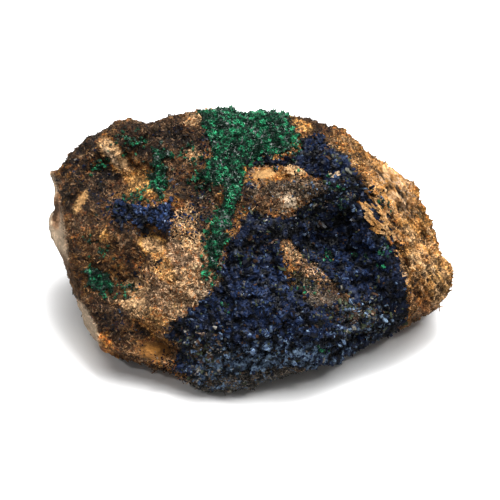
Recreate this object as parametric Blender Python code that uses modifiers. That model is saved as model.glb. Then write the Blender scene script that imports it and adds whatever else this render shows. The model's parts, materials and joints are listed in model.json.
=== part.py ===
"""Azurite specimen: a chunk of iron-stained quartz rock with crusts of azurite and malachite crystals.

The display face of the stone leans back, so the stone is shaped in the face's own frame:
u runs to the right, v up the face and w out of it. It is then tipped into place, standing
on a flat broken base at z = 0. Lengths in the tables are millimetres; Blender works in metres.
"""

import math
import random

import bmesh
import bpy
import numpy as np
from mathutils import Matrix, Vector, noise
from mathutils.bvhtree import BVHTree

MM = 0.001

# Driving dimensions
FACE_LEAN = math.radians(40)  # how far the display face leans back from upright
FACE_HEIGHT = 26.8  # height of the face frame's origin above the base
SPHERE_LEVEL = 5  # icosphere subdivisions of the rough stone
FRONT_BIAS = 0.2  # how strongly the mesh is drawn towards the display face
FRONT_DOME = 30.0  # how far the uncut front stands out of the girth
BACK_DOME = 44.0  # how far the uncut back reaches behind the girth
CRUST_SEAT = 1.2  # how deep the stone lies under a crust
CRUST_GAP = 0.3  # clearance between a crust and the stone under it
CRUST_EDGE, CRUST_NEXT, CRUST_MIDDLE = 0.5, 1.0, 1.6  # thickness at its edge, beside it and beyond
WEAR_ROUNDS, WEAR_STEP = 8, 0.15  # how often and how far the stone is worn down under a crust it touches
CRUST_SETBACK = 0.35  # how far a crust's edge stands back from that of its seat
CRUST_OFF_BASE = 4.0  # no crust comes nearer to the resting face than this
CRUST_BEHIND = -13.8  # lowest w of a crust, just behind the crest
OUTLINE_PULL = 0.6  # share of the way that the stone's corners move onto a crust's outline
OUTLINE_REACH = 1.2  # how near the outline they have to be
BACK_SHARE = 0.42  # share of the back's faces that are kept
CHIP_SIZE, CHIP_RISE = 11.0, 4.2  # broken blocks of the stone, parted by grooves
LUMP_SIZE, LUMP_RISE = 15.0, 2.0  # broad swelling of its surface
GRIT_SIZE, GRIT_RISE = 4.5, 1.1  # small knobs and pits
GIRTH_CALM = 0.3  # share of the roughness that is left along the girth
SEED = 7

# The widest girth of the stone, counter-clockwise from the right: u, v and w of each corner
GIRTH = (
    (47.5, 0, -9), (45.8, 5, -9), (44.5, 9.5, -9), (42.5, 14, -10), (39, 17.5, -10),
    (35.5, 20.8, -10), (31.8, 23.2, -10), (25.5, 28.5, -11), (18.2, 31.8, -12), (12.5, 33.8, -12),
    (3, 34, -13), (-2.5, 33.6, -13), (-7, 34.5, -13), (-12, 34.8, -13), (-16.2, 34.5, -12),
    (-24.5, 32, -11), (-30, 33.5, -10), (-34.2, 32.2, -9), (-40.5, 29.2, -8), (-44, 25.5, -7),
    (-47.5, 22, -6), (-50, 19.5, -5), (-49.2, 15, -5), (-50.2, 6, -5), (-48.5, 1.2, -5),
    (-44.5, -9.2, -5), (-42.5, -13.8, -4), (-40, -20, -4), (-37.2, -25, -4), (-32.5, -27, -3),
    (-26.8, -28.2, -2), (-20.8, -30.2, -1), (-16.2, -33, 0), (-12, -34.8, 0.5), (-5.8, -35, 0.5),
    (1.8, -33.8, -0.5), (9.7, -32, -2), (19.5, -27.3, -6), (26.4, -24.7, -8), (34.5, -21.5, -10),
    (40.8, -18.5, -12), (45.8, -14.5, -13), (49.5, -11.5, -12), (50.5, -6.2, -11), (49, -3, -10),
)

# Fracture planes that cut the front dome: w at a point, that point's u and v, the slopes along u and v
FRONT_CUTS = (
    (11.0, -26, -4, 0.22, 0.10),  # left plateau
    (15.0, 0, -16, 0.10, 0.42),  # undercut lower front
    (14.5, 10, 0, 0.02, -0.12),  # middle
    (5.0, -5, 26, 0.08, -0.62),  # top slope
    (10.0, 36, 0, -1.21, -0.47),  # right flank
    (9.5, -42, -2, 1.60, 0.30),  # left flank
    (4.0, -36, 24, 0.35, -0.30),  # upper left shoulder
)
# Fracture planes that cut the back dome, given in the same way
BACK_CUTS = (
    (-38.0, 0, 5, 0.10, -0.12),
    (-30.0, -30, 5, -0.75, 0.10),
    (-31.0, 33, 0, 0.70, 0.05),
    (-26.0, 5, 27, 0.05, 0.95),
    (-24.0, -30, 22, -0.60, 0.75),
    (-25.0, 30, 18, 0.80, 0.60),
)

# Swells and hollows of the front: centre u and v, half length and half width, turn in degrees, rise
SWELLS = (
    (-3, -19, 20, 10, 10, 4.0),  # belly under the azurite
    (-44, 17, 9, 3.5, 60, 3.0),  # dark rim at the upper left
    (13, -4, 11, 3.0, -45, 3.2),  # bare tongue between the azurite fields
    (33, 4, 16, 3.0, -68, 2.5),  # ridge along the right flank
    (-8, 10, 17, 4.0, 65, 2.6),  # rib that carries the malachite
    (22, 1, 10, 11, -20, -8.0),  # deep azurite hollow
    (-24, 25, 10, 3.6, 80, -5.5),  # gully that opens at the top edge
    (-30, 18, 9, 5.0, -8, -6.5),  # floor of the upper left hollow
    (-36, 25, 5, 3.0, -52, 4.0),  # block that stands in that hollow
    (-14, 15, 6, 5.0, 0, -3.5),  # hollow beside the malachite
    (-23, 2, 5, 3.5, -20, -4.0),  # bright pocket in the plateau
    (-31, -8, 5, 4.5, 0, -2.5),  # shallow pocket beside it
    (-33, -15, 9, 3.0, 65, 1.8),  # hump along the left edge
    (-22, -24, 6, 2.5, -10, -4.0),  # ochre pocket at the lower left
    (40, 8, 7, 4.0, -60, -2.5),  # pocket in the right flank
    (45, -8, 6, 3.0, -75, 2.0),  # boss at the right end
)
# Ledges of the front: from u and v, to u and v, step on the left of that line, reach of the step
LEDGES = (
    (24, 17, -4, 18, 5.5, 7.0),  # shelf of pale stone under the upper azurite
    (-44, 13, -10, 14, -4.5, 6.0),  # edge below the upper left hollow
    (18, 6, -3, 8, 3.2, 4.0),  # step above the lower azurite field
    (-6, -30, -30, -17, -2.2, 5.0),  # undercut below the plateau
)

# Outlines of the crusts on the face: u and v of each corner
MALACHITE_MAIN = (
    (-13, 38), (-11.8, 35), (9, 38), (10.5, 32.5), (11.8, 28.8), (10.8, 25), (7.5, 23.8), (3, 23.5),
    (-0.5, 21.2), (-1.2, 16.2), (-2.5, 11.2), (-3.8, 7), (-5.5, 2.5), (-7, -3), (-8.8, -5.5),
    (-11, -4), (-11.2, 0), (-9.5, 4.5), (-8, 8.8), (-7, 12.5), (-8, 15.5), (-11.2, 16.2),
    (-12.5, 18.8), (-9.5, 22.5), (-10.8, 26.2), (-12.5, 30),
)
MALACHITE_STREAK = ((-24.5, 26.8), (-20.8, 27.2), (-19.5, 24), (-20.5, 20), (-20, 14), (-23, 12.5), (-25, 17.5))
MALACHITE_LEFT = ((-41.5, -4.5), (-37.5, -4), (-34, -6), (-32.5, -10.5), (-37, -11.5), (-40.5, -9.5))
AZURITE_MAIN = (
    (-1.8, 25), (2, 24.5), (6.2, 22.5), (11.5, 23.8), (12.5, 27.5), (17, 28.8), (21.2, 25),
    (25, 21.2), (28, 16.2), (31.2, 12.5), (33.8, 8.8), (35.5, 3.8), (37.2, -1.2), (38.2, -7.5),
    (39.5, -12.5), (39.5, -17), (36.2, -20), (27.5, -24.5), (20, -27.5), (13.8, -29.5),
    (7, -28.8), (3, -29.6), (-3, -31.2), (-12.5, -33), (-17.5, -31.5), (-19.5, -28), (-17.5, -23.8), (-21.2, -21.2),
    (-19.5, -18), (-13.8, -13.8), (-8.8, -10), (-7, -5.5), (-6, 0), (-3.6, 4.5), (-2, 8.8),
    (-0.6, 10.8), (3, 9.5), (7.5, 8), (11.2, 9.5), (14.5, 12.5), (18.8, 14.5), (17.5, 17.5),
    (12.5, 19.5), (7.5, 20.5), (1.2, 20.5), (-1.8, 21.2),
)
AZURITE_LEFT = (
    (-35, 11), (-30.5, 11.5), (-25, 10.5), (-19.5, 12.5), (-15, 13.5), (-11.5, 15), (-9, 13.8),
    (-9, 9.5), (-11, 6.5), (-11.8, 9), (-15, 10.5), (-18, 9), (-19.5, 6.2), (-19.5, 3.5),
    (-21.5, 4), (-24, 5.4), (-27.5, 5), (-32, 6), (-34.5, 8),
)
BARE_TONGUE = (
    (7.5, 2.5), (10.5, 2), (12.5, -2), (17, -5), (21.2, -8.8), (23.8, -12), (20, -13.2),
    (15, -12.5), (11.2, -8.8), (8.2, -3.8),
)

# Crusts: node, mineral, outline, bare patch inside it. The first that claims a face keeps it.
CRUSTS = (
    ("malachite_crust_main", "malachite", MALACHITE_MAIN, ()),
    ("malachite_streak", "malachite", MALACHITE_STREAK, ()),
    ("malachite_patch_left", "malachite", MALACHITE_LEFT, ()),
    ("azurite_crust_main", "azurite", AZURITE_MAIN, BARE_TONGUE),
    ("azurite_crust_left", "azurite", AZURITE_LEFT, ()),
)
# Crystals of each mineral: share of the crust's faces that carry one, lowest and highest rise,
# width of the tip as a share of the foot
CRYSTALS = {
    "azurite": (0.35, 0.8, 1.9, 0.62),
    "malachite": (0.32, 0.4, 0.9, 0.55),
}
# Colour, roughness and metallic value of each material
FINISHES = {
    "matrix": ((0.42, 0.24, 0.10), 0.85, 0.0),
    "azurite": ((0.015, 0.03, 0.13), 0.3, 0.0),
    "malachite": ((0.01, 0.22, 0.10), 0.5, 0.0),
}


def clear_scene():
    for item in list(bpy.data.objects):
        bpy.data.objects.remove(item, do_unlink=True)


def smooth(x):
    x = np.clip(x, 0, 1)
    return x * x * (3 - 2 * x)


def girth_at(angle):
    """In-plane radius and w of the girth in a direction from the face's middle."""
    corners = sorted((math.atan2(v, u), math.hypot(u, v), w) for u, v, w in GIRTH)
    turns, radii, heights = (np.array(column) for column in zip(*corners))
    radius = np.interp(angle, turns, radii, period=2 * math.pi)
    return radius, np.interp(angle, turns, heights, period=2 * math.pi)


def cut_height(cut, u, v):
    w0, u0, v0, along_u, along_v = cut
    return w0 + along_u * (u - u0) + along_v * (v - v0)


def swell_height(swell, u, v):
    u0, v0, half_length, half_width, turn, rise = swell
    c, s = math.cos(math.radians(turn)), math.sin(math.radians(turn))
    along = ((u - u0) * c + (v - v0) * s) / half_length
    across = (-(u - u0) * s + (v - v0) * c) / half_width
    return rise * np.exp(-1.1 * (along**2 + across**2))


def ledge_height(ledge, u, v):
    """A step along a line, which dies away over its reach."""
    u0, v0, u1, v1, rise, reach = ledge
    length = math.hypot(u1 - u0, v1 - v0)
    along = ((u - u0) * (u1 - u0) + (v - v0) * (v1 - v0)) / length
    side = ((v - v0) * (u1 - u0) - (u - u0) * (v1 - v0)) / length
    ends = smooth(along / 4) * smooth((length - along) / 4)
    return rise * ends * smooth(side / 0.8) * np.exp(-np.maximum(side, 0) / reach)


def stone_points(directions):
    """Face-frame points of the rough stone, one for each unit direction."""
    c = directions[:, 2]
    c = (c + FRONT_BIAS * (1 - c**2)).clip(-1, 1)
    spread = np.sqrt(1 - c**2) ** 0.92
    angle = np.arctan2(directions[:, 1], directions[:, 0])
    radius, w_rim = girth_at(angle)
    u, v = radius * spread * np.cos(angle), radius * spread * np.sin(angle)
    inward = np.abs(c)
    front = w_rim + FRONT_DOME * inward**0.8
    for cut in FRONT_CUTS:
        front = np.minimum(front, np.maximum(cut_height(cut, u, v), w_rim + 6 * inward))
    relief = sum(swell_height(swell, u, v) for swell in SWELLS)
    relief = relief + sum(ledge_height(ledge, u, v) for ledge in LEDGES)
    front = front + smooth(inward / 0.5) * relief
    back = w_rim - BACK_DOME * inward**0.8
    for cut in BACK_CUTS:
        back = np.maximum(back, np.minimum(cut_height(cut, u, v), w_rim - 6 * inward))
    return np.stack([u, v, np.where(c > 0, front, back)], axis=1)


def roughness(point):
    """How far the broken surface stands proud at a point."""
    chips = noise.voronoi(point / CHIP_SIZE)[0]
    chipped = min(chips[1] - chips[0], 0.45) - 0.22
    lumps = noise.noise(point / LUMP_SIZE)
    grit = noise.noise(point / GRIT_SIZE)
    return CHIP_RISE * chipped + LUMP_RISE * lumps + GRIT_RISE * grit


def make_stone():
    bpy.ops.mesh.primitive_ico_sphere_add(subdivisions=SPHERE_LEVEL, radius=1)
    stone = bpy.context.object
    stone.name = "matrix_rock"
    mesh = stone.data
    directions = np.array([vert.co.normalized() for vert in mesh.vertices])
    mesh.vertices.foreach_set("co", stone_points(directions).astype(np.float32).ravel())
    mesh.update()
    normals = [vert.normal.copy() for vert in mesh.vertices]
    for vert, normal, direction in zip(mesh.vertices, normals, directions):
        calm = GIRTH_CALM + (1 - GIRTH_CALM) * smooth(abs(direction[2]) / 0.3)
        vert.co += normal * float(calm) * roughness(vert.co)
    for vert in mesh.vertices:
        if vert.normal.z > 0:
            vert.co += pull_to_outlines(vert.co)
    mesh.update()
    return stone


def pull_to_outlines(point):
    """The move that draws a corner of the mesh towards a crust's outline near it."""
    best = Vector((OUTLINE_REACH, 0, 0))
    for _, _, outline, bare in CRUSTS:
        for ring in (outline, bare):
            for start, end in zip(ring, ring[1:] + ring[:1]):
                start, side = Vector((*start, point.z)), Vector((end[0] - start[0], end[1] - start[1], 0))
                along = min(1.0, max(0.0, (point - start).dot(side) / side.length_squared))
                best = min(best, start + side * along - point, key=lambda move: move.length)
    return best * OUTLINE_PULL if best.length < OUTLINE_REACH else Vector()


def inside(outline, u, v):
    """Whether a point lies inside a closed outline, by counting the sides to its right."""
    found = False
    for (u0, v0), (u1, v1) in zip(outline, outline[1:] + outline[:1]):
        if (v0 > v) != (v1 > v) and u < u0 + (v - v0) / (v1 - v0) * (u1 - u0):
            found = not found
    return found


def height_above_base(point):
    return FACE_HEIGHT + point.y * math.cos(FACE_LEAN) + point.z * math.sin(FACE_LEAN)


def crust_over(face):
    """Index of the crust that covers a face of the stone, or -1."""
    u, v, w = middle = face.calc_center_median()
    if face.normal.z < -0.25 or w < CRUST_BEHIND or height_above_base(middle) < CRUST_OFF_BASE:
        return -1
    for index, (_, _, outline, bare) in enumerate(CRUSTS):
        if inside(outline, u, v) and not (bare and inside(bare, u, v)):
            return index
    return -1


def remove_pinches(bm):
    """Deletes faces until the border of the sheet passes each of its corners once."""
    pinched = True
    while pinched:
        pinched = [vert for vert in bm.verts if sum(edge.is_boundary for edge in vert.link_edges) > 2]
        faces = {face for vert in pinched for face in vert.link_faces}
        bmesh.ops.delete(bm, geom=list(faces), context="FACES")


def keep_largest_sheet(bm):
    rest, largest = set(bm.faces), set()
    while rest:
        sheet, queue = set(), [next(iter(rest))]
        while queue:
            face = queue.pop()
            if face in rest:
                rest.discard(face)
                sheet.add(face)
                queue.extend(other for edge in face.edges for other in edge.link_faces)
        largest = max(largest, sheet, key=len)
    bmesh.ops.delete(bm, geom=[face for face in bm.faces if face not in largest], context="FACES")


def set_border_back(bm):
    """Draws the border of a sheet inwards, and returns the indices of its vertices."""
    inward = {}
    for edge in [edge for edge in bm.edges if edge.is_boundary]:
        face = edge.link_faces[0]
        start, end = (vert.co for vert in edge.verts)
        across = face.normal.cross(end - start).normalized()
        if across.dot(face.calc_center_median() - start) < 0:
            across.negate()
        for vert in edge.verts:
            inward[vert] = inward.get(vert, Vector()) + across
    for vert, direction in inward.items():
        vert.co += direction.normalized() * CRUST_SETBACK
    bm.verts.index_update()
    return {vert.index for vert in inward}


def crust_sheet(stone, covers, index):
    """The stone's faces under one crust, lifted clear of it, as an object, and its border's vertices."""
    bm = bmesh.new()
    bm.from_mesh(stone.data)
    bare = [face for face in bm.faces if covers[face.index] != index]
    bmesh.ops.delete(bm, geom=bare, context="FACES")
    remove_pinches(bm)
    keep_largest_sheet(bm)
    bm.normal_update()
    border = set_border_back(bm)
    for vert in bm.verts:
        vert.co += vert.normal * CRUST_GAP
    mesh = bpy.data.meshes.new(CRUSTS[index][0])
    bm.to_mesh(mesh)
    bm.free()
    crust = bpy.data.objects.new(mesh.name, mesh)
    bpy.context.scene.collection.objects.link(crust)
    return crust, border


def thicken(crust, border):
    """Turns the sheet into a shell that is thin at its border."""
    ends = [set(edge.vertices) for edge in crust.data.edges]
    beside = set().union(*(pair for pair in ends if pair & border)) - border
    group = crust.vertex_groups.new(name="thickness")
    group.add([vert.index for vert in crust.data.vertices], 1.0, "REPLACE")
    group.add(list(beside), CRUST_NEXT / CRUST_MIDDLE, "REPLACE")
    group.add(list(border), CRUST_EDGE / CRUST_MIDDLE, "REPLACE")
    shell = crust.modifiers.new("shell", "SOLIDIFY")
    shell.thickness = CRUST_MIDDLE
    shell.offset = 1
    shell.vertex_group = group.name
    shell.material_offset = 1
    graph = bpy.context.evaluated_depsgraph_get()
    solid = bpy.data.meshes.new_from_object(crust.evaluated_get(graph))
    crust.modifiers.clear()
    crust.data = solid


def grow_crystals(crust, mineral, outer_faces):
    """Raises a flat-faced crystal on each face of the crust's outer side."""
    rng = random.Random(f"{SEED} {crust.name}")
    share, low, high, tip = CRYSTALS[mineral]
    bm = bmesh.new()
    bm.from_mesh(crust.data)
    bm.faces.ensure_lookup_table()
    rim = set(bm.faces[outer_faces:])
    fringe = {vert for face in rim for vert in face.verts}
    outer = bm.faces[:outer_faces]
    if mineral == "azurite":
        bend = math.radians(40)
        pairs = bmesh.ops.join_triangles(bm, faces=outer, angle_face_threshold=bend, angle_shape_threshold=bend)
        outer = [face for face in set(outer) | set(pairs["faces"]) if face.is_valid]
    outer.sort(key=lambda face: face.calc_center_median()[:])
    outer = [face for face in outer if fringe.isdisjoint(face.verts) and rng.random() < share]
    for face in bmesh.ops.extrude_discrete_faces(bm, faces=outer)["faces"]:
        middle = face.calc_center_median()
        tilt = Vector([rng.uniform(-0.35, 0.35) for _ in range(3)])
        rise = (face.normal + tilt).normalized() * rng.uniform(low, high)
        widest = max((vert.co - middle for vert in face.verts), key=lambda arm: arm.length).normalized()
        for vert in face.verts:
            arm = vert.co - middle
            along = widest * arm.dot(widest)
            vert.co = middle + rise + along * (tip + 0.2) + (arm - along) * tip
    bm.to_mesh(crust.data)
    bm.free()


def make_crusts(stone):
    """Lowers the stone under its crusts, and returns the crusts."""
    bm = bmesh.new()
    bm.from_mesh(stone.data)
    covers = [crust_over(face) for face in bm.faces]
    seated = [vert for vert in bm.verts if all(covers[face.index] >= 0 for face in vert.link_faces)]
    drops = [vert.normal * CRUST_SEAT for vert in seated]
    for vert, drop in zip(seated, drops):
        vert.co -= drop
    bm.normal_update()
    bm.to_mesh(stone.data)
    bm.free()
    crusts = []
    for index, (_, mineral, _, _) in enumerate(CRUSTS):
        crust, border = crust_sheet(stone, covers, index)
        outer_faces = len(crust.data.polygons)
        thicken(crust, border)
        grow_crystals(crust, mineral, outer_faces)
        crusts.append((crust, mineral))
    return crusts


def clear_crusts(stone, crusts):
    """Wears the stone down wherever it still touches a crust."""
    worn = bmesh.new()
    worn.from_mesh(stone.data)
    trees = []
    for crust, _ in crusts:
        bm = bmesh.new()
        bm.from_mesh(crust.data)
        trees.append(BVHTree.FromBMesh(bm))
        bm.free()
    for _ in range(WEAR_ROUNDS):
        worn.normal_update()
        worn.verts.ensure_lookup_table()
        worn.faces.ensure_lookup_table()
        surface = BVHTree.FromBMesh(worn)
        touching = {vert for tree in trees for face, _ in surface.overlap(tree) for vert in worn.faces[face].verts}
        for vert in touching:
            vert.co -= vert.normal * WEAR_STEP
    worn.to_mesh(stone.data)
    worn.free()


def thin_out_back(stone):
    """Merges faces on the back, where there is no crust to fit."""
    group = stone.vertex_groups.new(name="back")
    back = [vert.index for vert in stone.data.vertices if vert.normal.z < -0.4]
    group.add(back, 1.0, "REPLACE")
    merge = stone.modifiers.new("merge", "DECIMATE")
    merge.ratio = 1 - (1 - BACK_SHARE) * len(back) / len(stone.data.vertices)
    merge.vertex_group = group.name
    graph = bpy.context.evaluated_depsgraph_get()
    merged = bpy.data.meshes.new_from_object(stone.evaluated_get(graph))
    stone.modifiers.clear()
    stone.data = merged


def face_to_world():
    """Matrix from the face frame, in millimetres, to the world, in metres."""
    lean, lift = FACE_LEAN, Vector((0, 0, FACE_HEIGHT))
    turn = Matrix(((1, 0, 0), (0, math.sin(lean), -math.cos(lean)), (0, math.cos(lean), math.sin(lean))))
    return Matrix.Scale(MM, 4) @ Matrix.Translation(lift) @ turn.to_4x4()


def cut_base(stone):
    """Cuts the stone off flat at z = 0."""
    bm = bmesh.new()
    bm.from_mesh(stone.data)
    everything = bm.verts[:] + bm.edges[:] + bm.faces[:]
    bmesh.ops.bisect_plane(bm, geom=everything, plane_no=(0, 0, -1), clear_outer=True, dist=0.05 * MM)
    bmesh.ops.contextual_create(bm, geom=[edge for edge in bm.edges if edge.is_boundary])
    bmesh.ops.recalc_face_normals(bm, faces=bm.faces[:])
    bm.to_mesh(stone.data)
    bm.free()


def paint(obj, finish):
    colour, roughness_value, metallic = FINISHES[finish]
    material = bpy.data.materials.get(finish) or bpy.data.materials.new(finish)
    material.use_nodes = True
    shader = material.node_tree.nodes["Principled BSDF"]
    shader.inputs["Base Color"].default_value = (*colour, 1)
    shader.inputs["Roughness"].default_value = roughness_value
    shader.inputs["Metallic"].default_value = metallic
    obj.data.materials.clear()
    obj.data.materials.append(material)
    for polygon in obj.data.polygons:
        polygon.material_index = 0


def main():
    clear_scene()
    specimen = bpy.data.collections.new("azurite_specimen")
    bpy.context.scene.collection.children.link(specimen)
    stone = make_stone()
    pieces = [(stone, "matrix")] + make_crusts(stone)
    clear_crusts(stone, pieces[1:])
    thin_out_back(stone)
    for obj, finish in pieces:
        obj.data.transform(face_to_world())
        paint(obj, finish)
        for collection in obj.users_collection:
            collection.objects.unlink(obj)
        specimen.objects.link(obj)
    cut_base(stone)


main()
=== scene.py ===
"""Dresses the azurite specimen: weathered rock, azurite and malachite crystals, loose grains and a studio.

Lengths in the tables are millimetres in the face's own frame: u runs to the right, v up the
leaning display face and w out of it. Blender works in metres.
"""

import itertools
import json
import math
import random

import bpy
import numpy as np
from bpy.props import FloatProperty, FloatVectorProperty, IntProperty, PointerProperty
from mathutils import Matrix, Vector
from mathutils.bvhtree import BVHTree

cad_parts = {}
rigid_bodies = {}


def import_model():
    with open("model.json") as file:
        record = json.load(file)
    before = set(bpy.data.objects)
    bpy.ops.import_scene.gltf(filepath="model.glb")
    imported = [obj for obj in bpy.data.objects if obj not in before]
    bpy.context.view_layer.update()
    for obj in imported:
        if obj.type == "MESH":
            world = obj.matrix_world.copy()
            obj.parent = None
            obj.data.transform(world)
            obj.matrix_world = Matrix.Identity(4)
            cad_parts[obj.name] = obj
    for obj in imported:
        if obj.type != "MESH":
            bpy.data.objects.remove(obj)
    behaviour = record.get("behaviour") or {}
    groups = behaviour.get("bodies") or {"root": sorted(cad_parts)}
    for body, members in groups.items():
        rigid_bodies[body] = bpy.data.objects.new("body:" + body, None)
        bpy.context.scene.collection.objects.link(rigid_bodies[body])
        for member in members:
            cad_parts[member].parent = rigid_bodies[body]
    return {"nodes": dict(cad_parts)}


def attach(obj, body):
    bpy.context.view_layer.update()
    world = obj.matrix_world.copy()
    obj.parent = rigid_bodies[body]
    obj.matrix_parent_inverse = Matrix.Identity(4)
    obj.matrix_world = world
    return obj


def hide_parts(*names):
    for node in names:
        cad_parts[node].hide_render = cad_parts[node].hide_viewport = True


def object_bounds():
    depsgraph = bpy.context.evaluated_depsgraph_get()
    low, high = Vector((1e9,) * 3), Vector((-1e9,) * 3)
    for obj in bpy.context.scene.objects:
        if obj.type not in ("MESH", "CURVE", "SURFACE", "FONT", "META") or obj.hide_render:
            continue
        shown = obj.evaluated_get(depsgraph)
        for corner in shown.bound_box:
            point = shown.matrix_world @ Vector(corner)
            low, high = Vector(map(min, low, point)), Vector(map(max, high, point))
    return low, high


bl_info = {
    "name": "Azurite specimen",
    "version": (1, 0, 0),
    "blender": (4, 5, 0),
    "location": "View3D > Sidebar > Specimen",
    "description": "Weathers the rock of an azurite specimen and grows its crystals",
    "category": "Object",
}

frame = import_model()
CAD_LOW, CAD_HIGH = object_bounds()

MM = 0.001
BODY = "root"
FACE_LEAN = math.radians(40)  # how far the display face leans back from upright
FACE_HEIGHT = 26.8  # height of the face frame's origin above the base
LEAN_SIN, LEAN_COS = math.sin(FACE_LEAN), math.cos(FACE_LEAN)
FACE_OUT = Vector((0, -LEAN_COS, LEAN_SIN))
SIGHT_START = 60  # how far in front of the face a line of sight starts
DISPLAY_DEPTH = -16  # how far behind the face's plane the display side reaches
ABOVE_FLOOR = (-1, -1, 0)  # least x, y and z of anything standing on the stone
WELD = 0.00001  # corners closer than this, in metres, are one
TINY = 1e-20  # keeps a division from failing
NEIGHBOURS = list(itertools.product((-1, 0, 1), repeat=3))  # steps from a cell of a grid to those around it

# Patches of a table: how fast they fade outwards, how much several add up to, and how widely
# copies scatter about the middle of one, in half sizes
PATCH_FALL = 1.1
PATCH_GAIN = 1.6
PATCH_SCATTER = 0.55

AZURITE_NODES = ("azurite_crust_main", "azurite_crust_left")
MALACHITE_NODES = ("malachite_crust_main", "malachite_streak", "malachite_patch_left")

# Palette of the stone, as linear colours
# near-black: dark stone, and also the painted shade of hollows, of the gully by the malachite and of stone
# beside the crusts
SOOT_AND_SHADE = (0.012, 0.008, 0.006)
UMBER = (0.055, 0.027, 0.012)
BROWN = (0.19, 0.097, 0.042)
RUST = (0.42, 0.14, 0.025)
OCHRE = (0.56, 0.25, 0.055)
GOLD = (0.86, 0.45, 0.13)
TAN = (0.56, 0.35, 0.20)
CREAM = (0.86, 0.54, 0.27)
QUARTZ = (0.78, 0.58, 0.39)
ASH = (0.16, 0.115, 0.078)
MOSS = (0.045, 0.055, 0.028)
HONEY = (0.62, 0.35, 0.135)
AMBER = (0.23, 0.098, 0.022)
DRAB = (0.22, 0.20, 0.175)

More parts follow.
